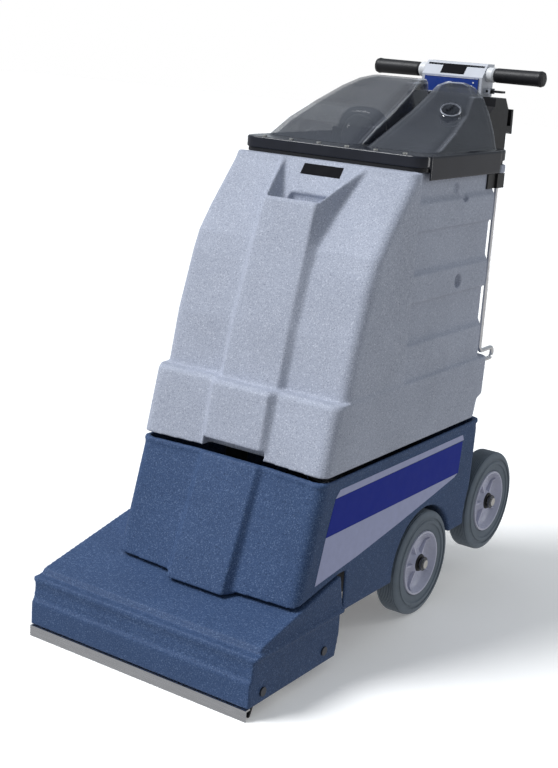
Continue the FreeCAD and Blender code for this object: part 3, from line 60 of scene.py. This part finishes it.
class Finish:
    """A Principled material whose colour, roughness and bump come from nodes."""

    def __init__(self, name, roughness=0.5, metallic=0.0):
        self.material = bpy.data.materials.new(name)
        self.material.use_nodes = True
        self.tree = self.material.node_tree
        self.shader = self.tree.nodes["Principled BSDF"]
        self.shader.inputs["Roughness"].default_value = roughness
        self.shader.inputs["Metallic"].default_value = metallic
        self.coords = self.tree.nodes.new("ShaderNodeTexCoord").outputs["Object"]

    def add(self, kind, **values):
        made = self.tree.nodes.new(kind)
        for key, value in values.items():
            if hasattr(made, key):
                setattr(made, key, value)
            else:
                made.inputs[key].default_value = value
        return made

    def link(self, source, target):
        self.tree.links.new(source, target)

    def noise(self, scale, detail=2.0, roughness=0.5, stretch=None):
        made = self.add("ShaderNodeTexNoise")
        made.inputs["Scale"].default_value = scale
        made.inputs["Detail"].default_value = detail
        made.inputs["Roughness"].default_value = roughness
        source = self.coords
        if stretch:
            mapping = self.add("ShaderNodeMapping")
            mapping.inputs["Scale"].default_value = stretch
            self.link(self.coords, mapping.inputs["Vector"])
            source = mapping.outputs["Vector"]
        self.link(source, made.inputs["Vector"])
        return made.outputs["Fac"]

    def cells(self, scale):
        made = self.add("ShaderNodeTexVoronoi")
        made.inputs["Scale"].default_value = scale
        self.link(self.coords, made.inputs["Vector"])
        return made.outputs["Color"]

    def ramp(self, factor, stops):
        """Maps a factor through colour stops: (position, colour) each."""
        made = self.add("ShaderNodeValToRGB")
        elements = made.color_ramp.elements
        while len(elements) < len(stops):
            elements.new(0.5)
        for element, (position, colour) in zip(elements, stops):
            element.position = position
            element.color = (*colour, 1) if len(colour) == 3 else colour
        self.link(factor, made.inputs["Fac"])
        return made.outputs["Color"]

    def mix(self, factor, first, second, blend="MIX"):
        made = self.add("ShaderNodeMix", data_type="RGBA", blend_type=blend)
        inputs = {socket.identifier: socket for socket in made.inputs}
        for key, value in (("Factor_Float", factor), ("A_Color", first), ("B_Color", second)):
            if isinstance(value, bpy.types.NodeSocket):
                self.link(value, inputs[key])
            else:
                inputs[key].default_value = value if key == "Factor_Float" else (*value, 1)
        return next(socket for socket in made.outputs if socket.identifier == "Result_Color")

    def colour(self, source):
        if isinstance(source, bpy.types.NodeSocket):
            self.link(source, self.shader.inputs["Base Color"])
        else:
            self.shader.inputs["Base Color"].default_value = (*source, 1)

    def roughness(self, factor, low, high):
        made = self.add("ShaderNodeMapRange")
        made.inputs["To Min"].default_value = low
        made.inputs["To Max"].default_value = high
        self.link(factor, made.inputs["Value"])
        self.link(made.outputs["Result"], self.shader.inputs["Roughness"])

    def bump(self, height, strength, distance):
        made = self.add("ShaderNodeBump")
        made.inputs["Strength"].default_value = strength
        made.inputs["Distance"].default_value = distance
        self.link(height, made.inputs["Height"])
        self.link(made.outputs["Normal"], self.shader.inputs["Normal"])


def grey(value, tint=(1, 1, 1)):
    return tuple(value * t for t in tint)


def rotomoulded(name, dark, base, light, roughness):
    """Granite-speckled polyethylene with a fine orange-peel surface and faint scuffs."""
    finish = Finish(name, roughness)
    grain = finish.noise(520, 3, 0.7)
    flecks = finish.cells(620)
    body = finish.ramp(grain, [(0.30, dark), (0.46, base), (0.56, base), (0.72, light)])
    fleck_mask = finish.ramp(flecks, [(0.70, (0, 0, 0)), (0.93, (1, 1, 1))])
    broad = finish.noise(9, 2)
    tinted = finish.mix(fleck_mask, body, light)
    shade = finish.ramp(broad, [(0.3, grey(0.90)), (0.7, grey(1.0))])
    finish.colour(finish.mix(1.0, tinted, shade, "MULTIPLY"))
    finish.roughness(finish.noise(60, 3), roughness - 0.08, roughness + 0.12)
    finish.bump(grain, 0.5, 0.0008)
    finish.shader.inputs["Specular IOR Level"].default_value = 0.14
    return finish.material


def moulded_plastic(name, colour, roughness, grain=900, relief=0.15, variation=0.12, coat=0.0):
    finish = Finish(name, roughness)
    patch = finish.noise(25, 3)
    darker, lighter = grey(1 - variation, colour), grey(1 + variation, colour)
    finish.colour(finish.ramp(patch, [(0.3, darker), (0.7, lighter)]))
    finish.roughness(finish.noise(140, 3), roughness - 0.06, roughness + 0.10)
    finish.bump(finish.noise(grain, 2), relief, 0.0003)
    finish.shader.inputs["Specular IOR Level"].default_value = 0.3
    finish.shader.inputs["Coat Weight"].default_value = coat
    return finish.material


def rubber(name, colour, roughness=0.75):
    finish = Finish(name, roughness)
    dust = finish.noise(35, 4, 0.6)
    finish.colour(finish.ramp(dust, [(0.25, grey(0.88, colour)), (0.75, grey(1.14, colour))]))
    finish.roughness(finish.noise(90, 3), roughness - 0.12, roughness + 0.08)
    finish.bump(finish.noise(700, 3), 0.2, 0.0004)
    finish.shader.inputs["Specular IOR Level"].default_value = 0.35
    return finish.material


def metal(name, colour, roughness, brushed=None):
    finish = Finish(name, roughness, 1.0)
    streaks = finish.noise(120, 3, 0.6, brushed)
    finish.colour(finish.ramp(streaks, [(0.3, grey(0.86, colour)), (0.7, colour)]))
    finish.roughness(streaks, max(roughness - 0.06, 0.03), roughness + 0.10)
    finish.bump(streaks, 0.05, 0.0002)
    return finish.material


def smoked_clear(name, tint, roughness, cover, glint_from, glint_full):
    """Thin smoked moulding: see-through, with a painted pale highlight, also made more opaque, where it
    curves most outwards.
    """
    finish = Finish(name, roughness)
    haze = finish.noise(14, 3)
    film = finish.ramp(haze, [(0.35, grey(0.80, tint)), (0.65, tint)])
    curvature = finish.add("ShaderNodeNewGeometry").outputs["Pointiness"]
    # Painted highlight: where the surface curves most outwards, the pale RIDGE_GLINT colour is mixed in
    # and the alpha is raised.
    ridge_glint_mask = finish.ramp(curvature, [(glint_from, (0, 0, 0)), (glint_full, (1, 1, 1))])
    finish.colour(finish.mix(ridge_glint_mask, film, RIDGE_GLINT))
    glint_opacity = finish.add("ShaderNodeMapRange")
    glint_opacity.inputs["To Min"].default_value = cover
    glint_opacity.inputs["To Max"].default_value = min(1.0, cover + 0.30)
    finish.link(ridge_glint_mask, glint_opacity.inputs["Value"])
    finish.link(glint_opacity.outputs["Result"], finish.shader.inputs["Alpha"])
    finish.roughness(finish.noise(30, 3), roughness, roughness + 0.05)
    finish.bump(finish.noise(18, 2), 0.06, 0.002)
    finish.shader.inputs["Specular IOR Level"].default_value = 0.8
    finish.shader.inputs["Coat Weight"].default_value = 0.6
    return finish.material


# Pale colour painted on as a highlight along the lid's most outward curves.
RIDGE_GLINT = (0.62, 0.65, 0.74)


def printed(name, colour, roughness=0.28, gloss=0.25):
    """Printed film: smooth, with a faint unevenness in its gloss."""
    finish = Finish(name, roughness)
    print_noise = finish.noise(70, 3)
    finish.colour(finish.ramp(print_noise, [(0.3, grey(0.93, colour)), (0.7, colour)]))
    finish.roughness(finish.noise(45, 3), roughness - 0.08, roughness + 0.10)
    finish.bump(finish.noise(300, 2), 0.04, 0.0002)
    finish.shader.inputs["Coat Weight"].default_value = gloss
    finish.shader.inputs["Specular IOR Level"].default_value = 0.08
    return finish.material


BLUE = rotomoulded("blue_moulding", (0.016, 0.029, 0.063), (0.043, 0.078, 0.168),
                   (0.110, 0.166, 0.290), 0.55)
GREY = rotomoulded("grey_moulding", (0.20, 0.218, 0.27), (0.375, 0.405, 0.49),
                   (0.56, 0.59, 0.67), 0.58)
# The last two numbers set where the painted ridge highlight begins and where it is full; the cap's lie
# almost out of reach, so it gets almost none.
CLEAR = smoked_clear("clear_dome", (0.045, 0.052, 0.072), 0.03, 0.53, 0.504, 0.522)
CAP = smoked_clear("clear_cap", (0.045, 0.052, 0.072), 0.05, 0.30, 0.90, 0.95)
RIM = moulded_plastic("lid_rim", (0.016, 0.018, 0.026), 0.12, relief=0.03)
PIPE = moulded_plastic("glossy_pipe", (0.060, 0.065, 0.080), 0.10, relief=0.02, coat=1.0)
BLACK = moulded_plastic("black_moulding", (0.010, 0.010, 0.012), 0.45)
CONSOLE = moulded_plastic("console_grey", (0.50, 0.52, 0.57), 0.42, relief=0.1, variation=0.05)
PANEL = printed("panel_blue", (0.020, 0.050, 0.26))
NAVY = printed("decal_navy", (0.010, 0.024, 0.27), 0.5, 0.0)
SILVER = printed("decal_silver", (0.37, 0.395, 0.58), 0.5, 0.0)
LABEL = printed("label_black", (0.004, 0.004, 0.006), 0.7, 0.0)
PRINT = printed("print_white", (0.70, 0.72, 0.76), 0.5, 0.0)
WHITE = moulded_plastic("white_plastic", (0.70, 0.71, 0.73), 0.35, relief=0.05, variation=0.04)
RED = moulded_plastic("red_plastic", (0.36, 0.015, 0.012), 0.35)
TYRE = rubber("grey_tyre", (0.120, 0.148, 0.180), 0.66)
RUBBER = rubber("black_rubber", (0.010, 0.010, 0.012), 0.5)
HUB = moulded_plastic("hub_plastic", (0.50, 0.51, 0.62), 0.26, relief=0.08, variation=0.05)
ZINC = metal("zinc_steel", (0.62, 0.61, 0.58), 0.32)
DARK_STEEL = metal("dark_steel", (0.10, 0.105, 0.12), 0.38)
PAINTED = moulded_plastic("painted_steel", (0.014, 0.014, 0.015), 0.38)
CHROME = metal("chrome_rod", (0.80, 0.80, 0.82), 0.08)
MOTOR = metal("motor_metal", (0.42, 0.42, 0.43), 0.42, (1, 1, 8))
BRISTLE = moulded_plastic("bristle_nylon", (0.045, 0.047, 0.055), 0.55, 400, 0.4)
STEEL = metal("shoe_steel", (0.56, 0.57, 0.60), 0.25, (0.3, 4, 4))

FINISHES = {
    "blue_moulding": BLUE, "grey_moulding": GREY, "clear_dome": CLEAR, "black_moulding": BLACK,
    "panel_blue": PANEL, "grey_tyre": TYRE, "hub_plastic": HUB, "zinc_steel": ZINC,
    "painted_steel": PAINTED, "chrome_rod": CHROME, "motor_metal": MOTOR, "bristle_nylon": BRISTLE,
    "white_plastic": WHITE, "red_plastic": RED, "black_rubber": RUBBER,
}
OWN_FINISH = {"console_shell": CONSOLE, "shoe_lip": STEEL, "hood_screws": DARK_STEEL,
              "axle_push_nuts": DARK_STEEL, "fill_cap": CAP,
              "recovery_pipe": PIPE, "vacuum_pipe": PIPE}


# ---------------------------------------------------------------- mesh helpers

def piece(name, mesh, node_or_body, material, replaced=()):
    """Puts a mesh in the scene, riding on a body or on the body of the node it stands for."""
    made = bpy.data.objects.new(name, mesh)
    bpy.context.scene.collection.objects.link(made)
    mesh.materials.clear()
    for entry in material if isinstance(material, (list, tuple)) else [material]:
        mesh.materials.append(entry)
    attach(made, BODY_OF.get(node_or_body, node_or_body))
    if replaced:
        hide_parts(*replaced)
    return made


def smooth(mesh, degrees=35):
    mesh.polygons.foreach_set("use_smooth", [True] * len(mesh.polygons))
    mesh.set_sharp_from_angle(angle=math.radians(degrees))


def applied(mesh, name, modifiers):
    """The mesh after a list of (type, {settings}) modifiers."""
    holder = bpy.data.objects.new(name + "_work", mesh)
    bpy.context.scene.collection.objects.link(holder)
    for kind, settings in modifiers:
        modifier = holder.modifiers.new(kind.lower(), kind)
        for key, value in settings.items():
            setattr(modifier, key, value)
    bpy.context.view_layer.update()
    graph = bpy.context.evaluated_depsgraph_get()
    result = bpy.data.meshes.new_from_object(holder.evaluated_get(graph))
    bpy.data.objects.remove(holder)
    result.name = name
    return result


def soft_moulding(node, voxel, passes, keep=0.3, material=None):
    """A moulded shell with rounded edges, made from a CAD node's own shape."""
    voxel = voxel * 1
    mesh = applied(NODES[node].data.copy(), node + "_moulding", [
        ("REMESH", {"mode": "VOXEL", "voxel_size": voxel, "adaptivity": 0.0}),
        ("SMOOTH", {"factor": 0.5, "iterations": passes}),
        ("DECIMATE", {"ratio": keep}),
    ])
    mesh.polygons.foreach_set("use_smooth", [True] * len(mesh.polygons))
    return piece(node + "_moulding", mesh, node, material or FINISHES[SLOT_OF[node]], [node])


def revolved(profile, centre, segments=96):
    """A closed (x, radius) profile turned about a line along X through centre."""
    mesh = bpy.data.meshes.new("revolved")
    vertices, faces = [], []
    count = len(profile)
    for step in range(segments):
        turn = 2 * math.pi * step / segments
        for x, radius in profile:
            vertices.append((centre[0] + x, centre[1] + radius * math.cos(turn),
                             centre[2] + radius * math.sin(turn)))
    for step in range(segments):
        following = (step + 1) % segments
        for i in range(count):
            j = (i + 1) % count
            faces.append((step * count + i, step * count + j, following * count + j,
                          following * count + i))
    mesh.from_pydata(vertices, [], faces)
    mesh.update()
    return mesh


def joined(meshes, name):
    """One mesh out of several."""
    made = bmesh.new()
    for mesh in meshes:
        made.from_mesh(mesh)
    bmesh.ops.recalc_face_normals(made, faces=made.faces)
    result = bpy.data.meshes.new(name)
    made.to_mesh(result)
    made.free()
    return result


def slab(corners, thickness, direction, bevel=0.0):
    """A flat plate: corners are its outline, pushed out by thickness along direction."""
    made = bmesh.new()
    base = [made.verts.new(c) for c in corners]
    face = made.faces.new(base)
    grown = bmesh.ops.extrude_face_region(made, geom=[face])
    shift = Vector(direction).normalized() * thickness
    lifted = [item for item in grown["geom"] if isinstance(item, bmesh.types.BMVert)]
    bmesh.ops.translate(made, vec=shift, verts=lifted)
    bmesh.ops.recalc_face_normals(made, faces=made.faces)
    if bevel:
        bmesh.ops.bevel(made, geom=made.edges, offset=bevel, segments=2, affect="EDGES")
    result = bpy.data.meshes.new("slab")
    made.to_mesh(result)
    made.free()
    return result


def arc(centre, radius_x, radius_r, start, end, steps):
    """Points of an elliptical arc in a profile, angles in degrees."""
    return [(centre[0] + radius_x * math.cos(math.radians(start + (end - start) * i / steps)),
             centre[1] + radius_r * math.sin(math.radians(start + (end - start) * i / steps)))
            for i in range(steps + 1)]


# ---------------------------------------------------------------- rotomoulded shells

VOXEL = 0.0026
soft_moulding("tank_shell", VOXEL, 4)
soft_moulding("base_shell", VOXEL, 4)
soft_moulding("brush_hood", VOXEL, 4)

# ---------------------------------------------------------------- clear lid

def clear_lid():
    """Both domes clear, with the flange and its skirts as a dark glossy frame."""
    lid = soft_moulding("lid_dome", 0.0016, 6, 0.35, [CLEAR, RIM])
    flange_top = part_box("tank_gasket")[1].z + RIM_HEIGHT
    for polygon in lid.data.polygons:
        if polygon.center.z < flange_top:
            polygon.material_index = 1
    return lid


RIM_HEIGHT = 0.0215
clear_lid()


# ---------------------------------------------------------------- wheels

TREAD_GROOVES = 9
TREAD_HALF = 0.0155
GROOVE_DEPTH = 0.0018
SPOKES = 5


def tyre_profile(half, outer, rim):
    """Half-section of a tyre: ribbed tread, rounded shoulders and two raised rings on each side."""
    pitch = 2 * TREAD_HALF / TREAD_GROOVES
    tread = []
    for i in range(TREAD_GROOVES):
        left = -TREAD_HALF + i * pitch
        tread += [(left + 0.12 * pitch, outer - 0.0002), (left + 0.62 * pitch, outer - 0.0002),
                  (left + 0.74 * pitch, outer - GROOVE_DEPTH), (left + pitch, outer - GROOVE_DEPTH)]
    right = arc((TREAD_HALF, outer - 0.0128), half - TREAD_HALF - 0.0006, 0.0122, 80, 0, 7)
    middle = (outer + rim) / 2
    side = [(half - 0.0004, middle + 0.008), (half - 0.0022, middle + 0.0066),
            (half - 0.0022, middle + 0.0022), (half - 0.0004, middle + 0.0008),
            (half - 0.0004, middle - 0.0042), (half - 0.0026, middle - 0.0056),
            (half - 0.0034, rim + 0.0045), (half - 0.0052, rim + 0.0004)]
    wall = right + side
    mirrored_wall = [(-x, r) for x, r in reversed(wall)]
    return mirrored_wall + tread + wall


def hub_profile(half, rim, bore, sign):
    """Closed section of the dished hub; sign points x to the wheel's outer side."""
    outer_side = [(half - 0.0042, rim), (half - 0.0024, rim - 0.0002), (half - 0.0014, rim - 0.0016),
                  (half - 0.0020, rim - 0.0034), (half - 0.0050, rim - 0.0044), (0.0085, rim - 0.0062),
                  (0.0050, rim - 0.0100), (0.0036, rim - 0.0150), (0.0036, bore + 0.0180),
                  (0.0050, bore + 0.0140), (0.0100, bore + 0.0100), (half - 0.0060, bore + 0.0082),
                  (half - 0.0034, bore + 0.0070), (half - 0.0026, bore + 0.0056), (half - 0.0026, bore)]
    inner_side = [(-half + 0.0030, bore), (-half + 0.0030, bore + 0.007), (-0.0050, bore + 0.010),
                  (-0.0036, bore + 0.018), (-0.0036, rim - 0.015), (-0.0080, rim - 0.007),
                  (-half + 0.0042, rim - 0.004), (-half + 0.0042, rim)]
    return [(sign * x, r) for x, r in outer_side + inner_side]


def spoke(centre, sign, half, rim, bore, turn):
    """Thin raised rib from the boss to the rim, on the outer side of the web."""
    outline = [(0.0030, bore + 0.010), (half - 0.0100, bore + 0.009), (0.0078, rim - 0.013),
               (half - 0.0088, rim - 0.0046), (0.0030, rim - 0.008)]
    corners = [Vector((sign * x, 0, r)) for x, r in outline]
    mesh = slab([c - Vector((0, 0.0014, 0)) for c in corners], 0.0028, (0, 1, 0))
    mesh.transform(Matrix.Translation(centre) @ Matrix.Rotation(turn, 4, "X"))
    return mesh


def wheel(axle, side):
    low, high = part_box(f"{axle}_tyre_{side}")
    centre = (low + high) / 2
    half, outer = (high.x - low.x) / 2, (high.z - low.z) / 2
    rim = (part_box(f"{axle}_hub_{side}")[1].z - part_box(f"{axle}_hub_{side}")[0].z) / 2
    bore = (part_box(f"{axle}_axle")[1].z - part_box(f"{axle}_axle")[0].z) / 2 + 0.0001
    sign = 1 if side == "right" else -1
    tyre = revolved(tyre_profile(half, outer, rim), centre, 128)
    smooth(tyre, 40)
    piece(f"{axle}_tyre_{side}_tread", tyre, f"{axle}_tyre_{side}", TYRE, [f"{axle}_tyre_{side}"])
    parts = [revolved(hub_profile(half, rim, bore, sign), centre, 96)]
    for i in range(SPOKES):
        parts.append(spoke(centre, sign, half, rim, bore, 2 * math.pi * (i + SPOKE_START) / SPOKES))
    hub = joined(parts, f"{axle}_hub_{side}_dish")
    smooth(hub, 40)
    dish = piece(f"{axle}_hub_{side}_dish", hub, f"{axle}_hub_{side}", [HUB, BLACK],
                 [f"{axle}_hub_{side}"])
    for polygon in dish.data.polygons:
        away = polygon.center - centre
        if sign * away.x > BOSS_START and math.hypot(away.y, away.z) < bore + BOSS_REACH:
            polygon.material_index = 1


SPOKE_START = 0.3
BOSS_START, BOSS_REACH = 0.0142, 0.0095
for axle in ("main", "rear"):
    for side in ("left", "right"):
        wheel(axle, side)

# ---------------------------------------------------------------- brush

TUFT_ROWS = 14
TUFTS_ALONG = 34


def brush_tufts():
    """Spiral rows of splayed nylon tufts round the core."""
    low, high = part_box("brush_bristles")
    centre = (low + high) / 2
    radius = (high.z - low.z) / 2
    core = (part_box("brush_core")[1].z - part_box("brush_core")[0].z) / 2
    draw = random.Random(7)
    mesh = bmesh.new()
    step = (high.x - low.x) / TUFTS_ALONG
    for row in range(TUFT_ROWS):
        for i in range(TUFTS_ALONG):
            turn = 2 * math.pi * (row / TUFT_ROWS + 0.35 * i / TUFTS_ALONG)
            lean = draw.uniform(-0.05, 0.05)
            place = (Matrix.Translation((low.x + (i + 0.5) * step, centre.y, centre.z))
                     @ Matrix.Rotation(turn + lean, 4, "X")
                     @ Matrix.Translation((0, 0, (radius + core) / 2 - 0.0006)))
            bmesh.ops.create_cone(mesh, cap_ends=True, segments=7, radius1=0.0024,
                                  radius2=0.0046, depth=radius - core, matrix=place)
    result = bpy.data.meshes.new("brush_tufts")
    mesh.to_mesh(result)
    mesh.free()
    return piece("brush_tufts", result, "brush_bristles", BRISTLE, ["brush_bristles"])


brush_tufts()

# ---------------------------------------------------------------- side decals

def side_decal(sign, name):
    """Navy band between a pale stripe and a long pale wedge, on the base's flat side."""
    low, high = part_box("base_shell")
    x = sign * (high.x - RIM_OVERHANG)
    pieces = {
        "stripe": (SILVER, [(0.230, 0.317), (0.217, 0.305), (0.665, 0.306), (0.659, 0.317)]),
        "band": (NAVY, [(0.217, 0.3045), (0.196, 0.244), (0.655, 0.244), (0.661, 0.3045)]),
        "wedge": (SILVER, [(0.196, 0.2435), (0.174, 0.167), (0.300, 0.182), (0.440, 0.2035),
                           (0.560, 0.224), (0.640, 0.2385), (0.652, 0.2435)]),
    }
    for part, (material, outline) in pieces.items():
        corners = [Vector((x, y, z)) for y, z in outline]
        mesh = slab(corners, DECAL_THICKNESS, (sign, 0, 0))
        piece(f"{name}_{part}", mesh, "base_shell", material)


RIM_OVERHANG = 0.0016
DECAL_THICKNESS = 0.0004
side_decal(1, "decal_right")
side_decal(-1, "decal_left")

# ---------------------------------------------------------------- labels and printed marks

FILM = 0.0004


def label(name, node, material, x_low, x_high, foot, head, bevel=0.0):
    """A thin film on a leaning face: foot and head are its lower and upper edge's (y, z)."""
    rise = Vector((0, head[0] - foot[0], head[1] - foot[1])).normalized()
    off_face = Vector((1, 0, 0)).cross(rise)
    lift = off_face * 0.0001
    corners = [Vector((x, *edge)) + lift for x, edge in ((x_low, foot), (x_high, foot),
                                                         (x_high, head), (x_low, head))]
    return piece(name, slab(corners, FILM, off_face, bevel), node, material)


def pocket_label():
    """Blank black label on the leaning back wall of the hand pocket."""
    foot, head = Vector((0.346, 0.738)), Vector((0.403, 0.814))
    low, high = (foot.lerp(head, share) for share in (0.66, 0.88))
    label("pocket_label", "tank_shell", LABEL, -0.036, 0.042, low, high)


def console_prints():
    """Blank label on the console's slope, and plain marks on its blue panel."""
    low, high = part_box("console_shell")
    foot, head = Vector((low.y, high.z - 0.025)), Vector((low.y + 0.020, high.z))
    lower, upper = (foot.lerp(head, share) for share in (0.12, 0.82))
    label("console_label", "console_shell", LABEL, -0.027, 0.023, lower, upper)
    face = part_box("console_panel")[0].y + 0.0018
    for i, (x, z, width, height) in enumerate(PANEL_MARKS):
        label(f"panel_mark_{i + 1}", "console_panel", PRINT, x, x + width,
              Vector((face, z)), Vector((face, z + height)))


# plain bars (x, z, width, height) beside the knob, then pale lines along the panel's two long edges
PANEL_MARKS = [(0.036, 0.938, 0.010, 0.0025), (0.036, 0.932, 0.006, 0.0025),
               (0.046, 0.944, 0.003, 0.003),
               (-0.0565, 0.9235, 0.113, 0.0010), (-0.0565, 0.9525, 0.113, 0.0010)]
pocket_label()
console_prints()

# ---------------------------------------------------------------- carried-over CAD nodes

def finish_node(node, bevel=0.0008):
    """A kept CAD node gets its finish, softened edges and smooth shading."""
    thing = NODES[node]
    thing.data.materials.clear()
    thing.data.materials.append(OWN_FINISH.get(node, FINISHES[SLOT_OF[node]]))
    smooth(thing.data, 30)
    modifier = thing.modifiers.new("soft_edges", "BEVEL")
    modifier.width = bevel
    modifier.segments = 2
    modifier.limit_method = "ANGLE"
    modifier.angle_limit = math.radians(40)
    modifier.harden_normals = True


for node, thing in NODES.items():
    if not thing.hide_render:
        finish_node(node)

# ---------------------------------------------------------------- floor, light and camera

def studio_floor():
    """Pale floor to the camera; to everything else an even glow, dimmer than the floor looks."""
    floor = bpy.data.meshes.new("floor")
    reach = 14.0
    floor.from_pydata([(-reach, -reach, 0), (reach, -reach, 0), (reach, reach, 0), (-reach, reach, 0)],
                      [], [(0, 1, 2, 3)])
    ground = bpy.data.objects.new("floor", floor)
    bpy.context.scene.collection.objects.link(ground)
    pale = moulded_plastic("floor_pale", (0.93, 0.93, 0.92), 0.85, 60, 0.02, 0.01)
    glow = pale.node_tree.nodes["Principled BSDF"].inputs
    glow["Emission Color"].default_value = (1, 0.98, 0.96, 1)
    glow["Emission Strength"].default_value = FLOOR_GLOW
    glow["Specular IOR Level"].default_value = 0.1
    floor.materials.append(pale)
    links = pale.node_tree.links
    camera_ray = pale.node_tree.nodes.new("ShaderNodeLightPath").outputs["Is Camera Ray"]
    bounce = pale.node_tree.nodes.new("ShaderNodeEmission")
    bounce.inputs["Color"].default_value = (*grey(FLOOR_BOUNCE), 1)
    shown = pale.node_tree.nodes.new("ShaderNodeMixShader")
    links.new(camera_ray, shown.inputs["Fac"])
    links.new(bounce.outputs["Emission"], shown.inputs[1])
    links.new(pale.node_tree.nodes["Principled BSDF"].outputs["BSDF"], shown.inputs[2])
    links.new(shown.outputs["Shader"], pale.node_tree.nodes["Material Output"].inputs["Surface"])


def studio_sky():
    """White behind the machine, and a light room that fades towards a dark wall on its right."""
    world = bpy.data.worlds.new("studio")
    bpy.context.scene.world = world
    world.use_nodes = True
    tree = world.node_tree
    backdrop = tree.nodes["Background"]
    backdrop.inputs["Color"].default_value = (1, 1, 1, 1)
    ambient = tree.nodes.new("ShaderNodeBackground")
    ambient.inputs["Color"].default_value = (0.86, 0.93, 1.0, 1)
    direction = tree.nodes.new("ShaderNodeSeparateXYZ")
    tree.links.new(tree.nodes.new("ShaderNodeTexCoord").outputs["Generated"], direction.inputs["Vector"])
    fade = tree.nodes.new("ShaderNodeMapRange")
    fade.inputs["From Min"].default_value = -1
    fade.inputs["To Min"].default_value = SKY_LEFT
    fade.inputs["To Max"].default_value = SKY_RIGHT
    tree.links.new(direction.outputs["X"], fade.inputs["Value"])
    tree.links.new(fade.outputs["Result"], ambient.inputs["Strength"])
    seen = tree.nodes.new("ShaderNodeLightPath")
    choice = tree.nodes.new("ShaderNodeMixShader")
    tree.links.new(seen.outputs["Is Camera Ray"], choice.inputs["Fac"])
    tree.links.new(ambient.outputs["Background"], choice.inputs[1])
    tree.links.new(backdrop.outputs["Background"], choice.inputs[2])
    tree.links.new(choice.outputs["Shader"], tree.nodes["World Output"].inputs["Surface"])


def studio_lights():
    """A broad soft key from the front left, and a long soft box low behind the right shoulder."""
    key = bpy.data.lights.new("key", "SUN")
    key.energy = KEY_STRENGTH
    key.angle = math.radians(24)
    key.color = (0.97, 0.98, 1.0)
    lamp = bpy.data.objects.new("key", key)
    lamp.rotation_euler = Vector(KEY_FROM).to_track_quat("Z", "Y").to_euler()
    bpy.context.scene.collection.objects.link(lamp)
    edge = bpy.data.lights.new("edge", "AREA")
    edge.shape = "RECTANGLE"
    edge.size, edge.size_y = EDGE_SIZE
    edge.energy = EDGE_WATTS
    strip = bpy.data.objects.new("edge", edge)
    strip.location = EDGE_FROM
    strip.rotation_euler = (strip.location - Vector(EDGE_AIM)).to_track_quat("Z", "Y").to_euler()
    bpy.context.scene.collection.objects.link(strip)


SKY_LEFT, SKY_RIGHT = 0.58, 0.32
FLOOR_GLOW, FLOOR_BOUNCE = 0.16, 0.52
KEY_STRENGTH = 3.1
KEY_FROM = (-0.46, -0.50, 0.74)
EDGE_FROM, EDGE_AIM = (2.0, 2.2, 1.25), (0, 0.6, 0.85)
EDGE_SIZE, EDGE_WATTS = (0.5, 2.2), 14


def camera():
    """The photograph's viewpoint: in front, to the machine's right, a little above its top."""
    data = bpy.data.cameras.new("camera")
    data.lens = 64.19
    data.sensor_width = 36
    view = bpy.data.objects.new("camera", data)
    right = Vector((0.82279, 0.56430, 0.06769))
    up = Vector((-0.19931, 0.17495, 0.96419))
    back = Vector((0.53225, -0.80682, 0.25642))
    view.matrix_world = Matrix.Translation((1.2358, -1.5638, 1.0355)) @ Matrix(
        [(right[i], up[i], back[i]) for i in range(3)]).to_4x4()
    bpy.context.scene.collection.objects.link(view)
    bpy.context.scene.camera = view


studio_floor()
studio_sky()
studio_lights()
camera()
bpy.context.scene.view_settings.view_transform = "Standard"
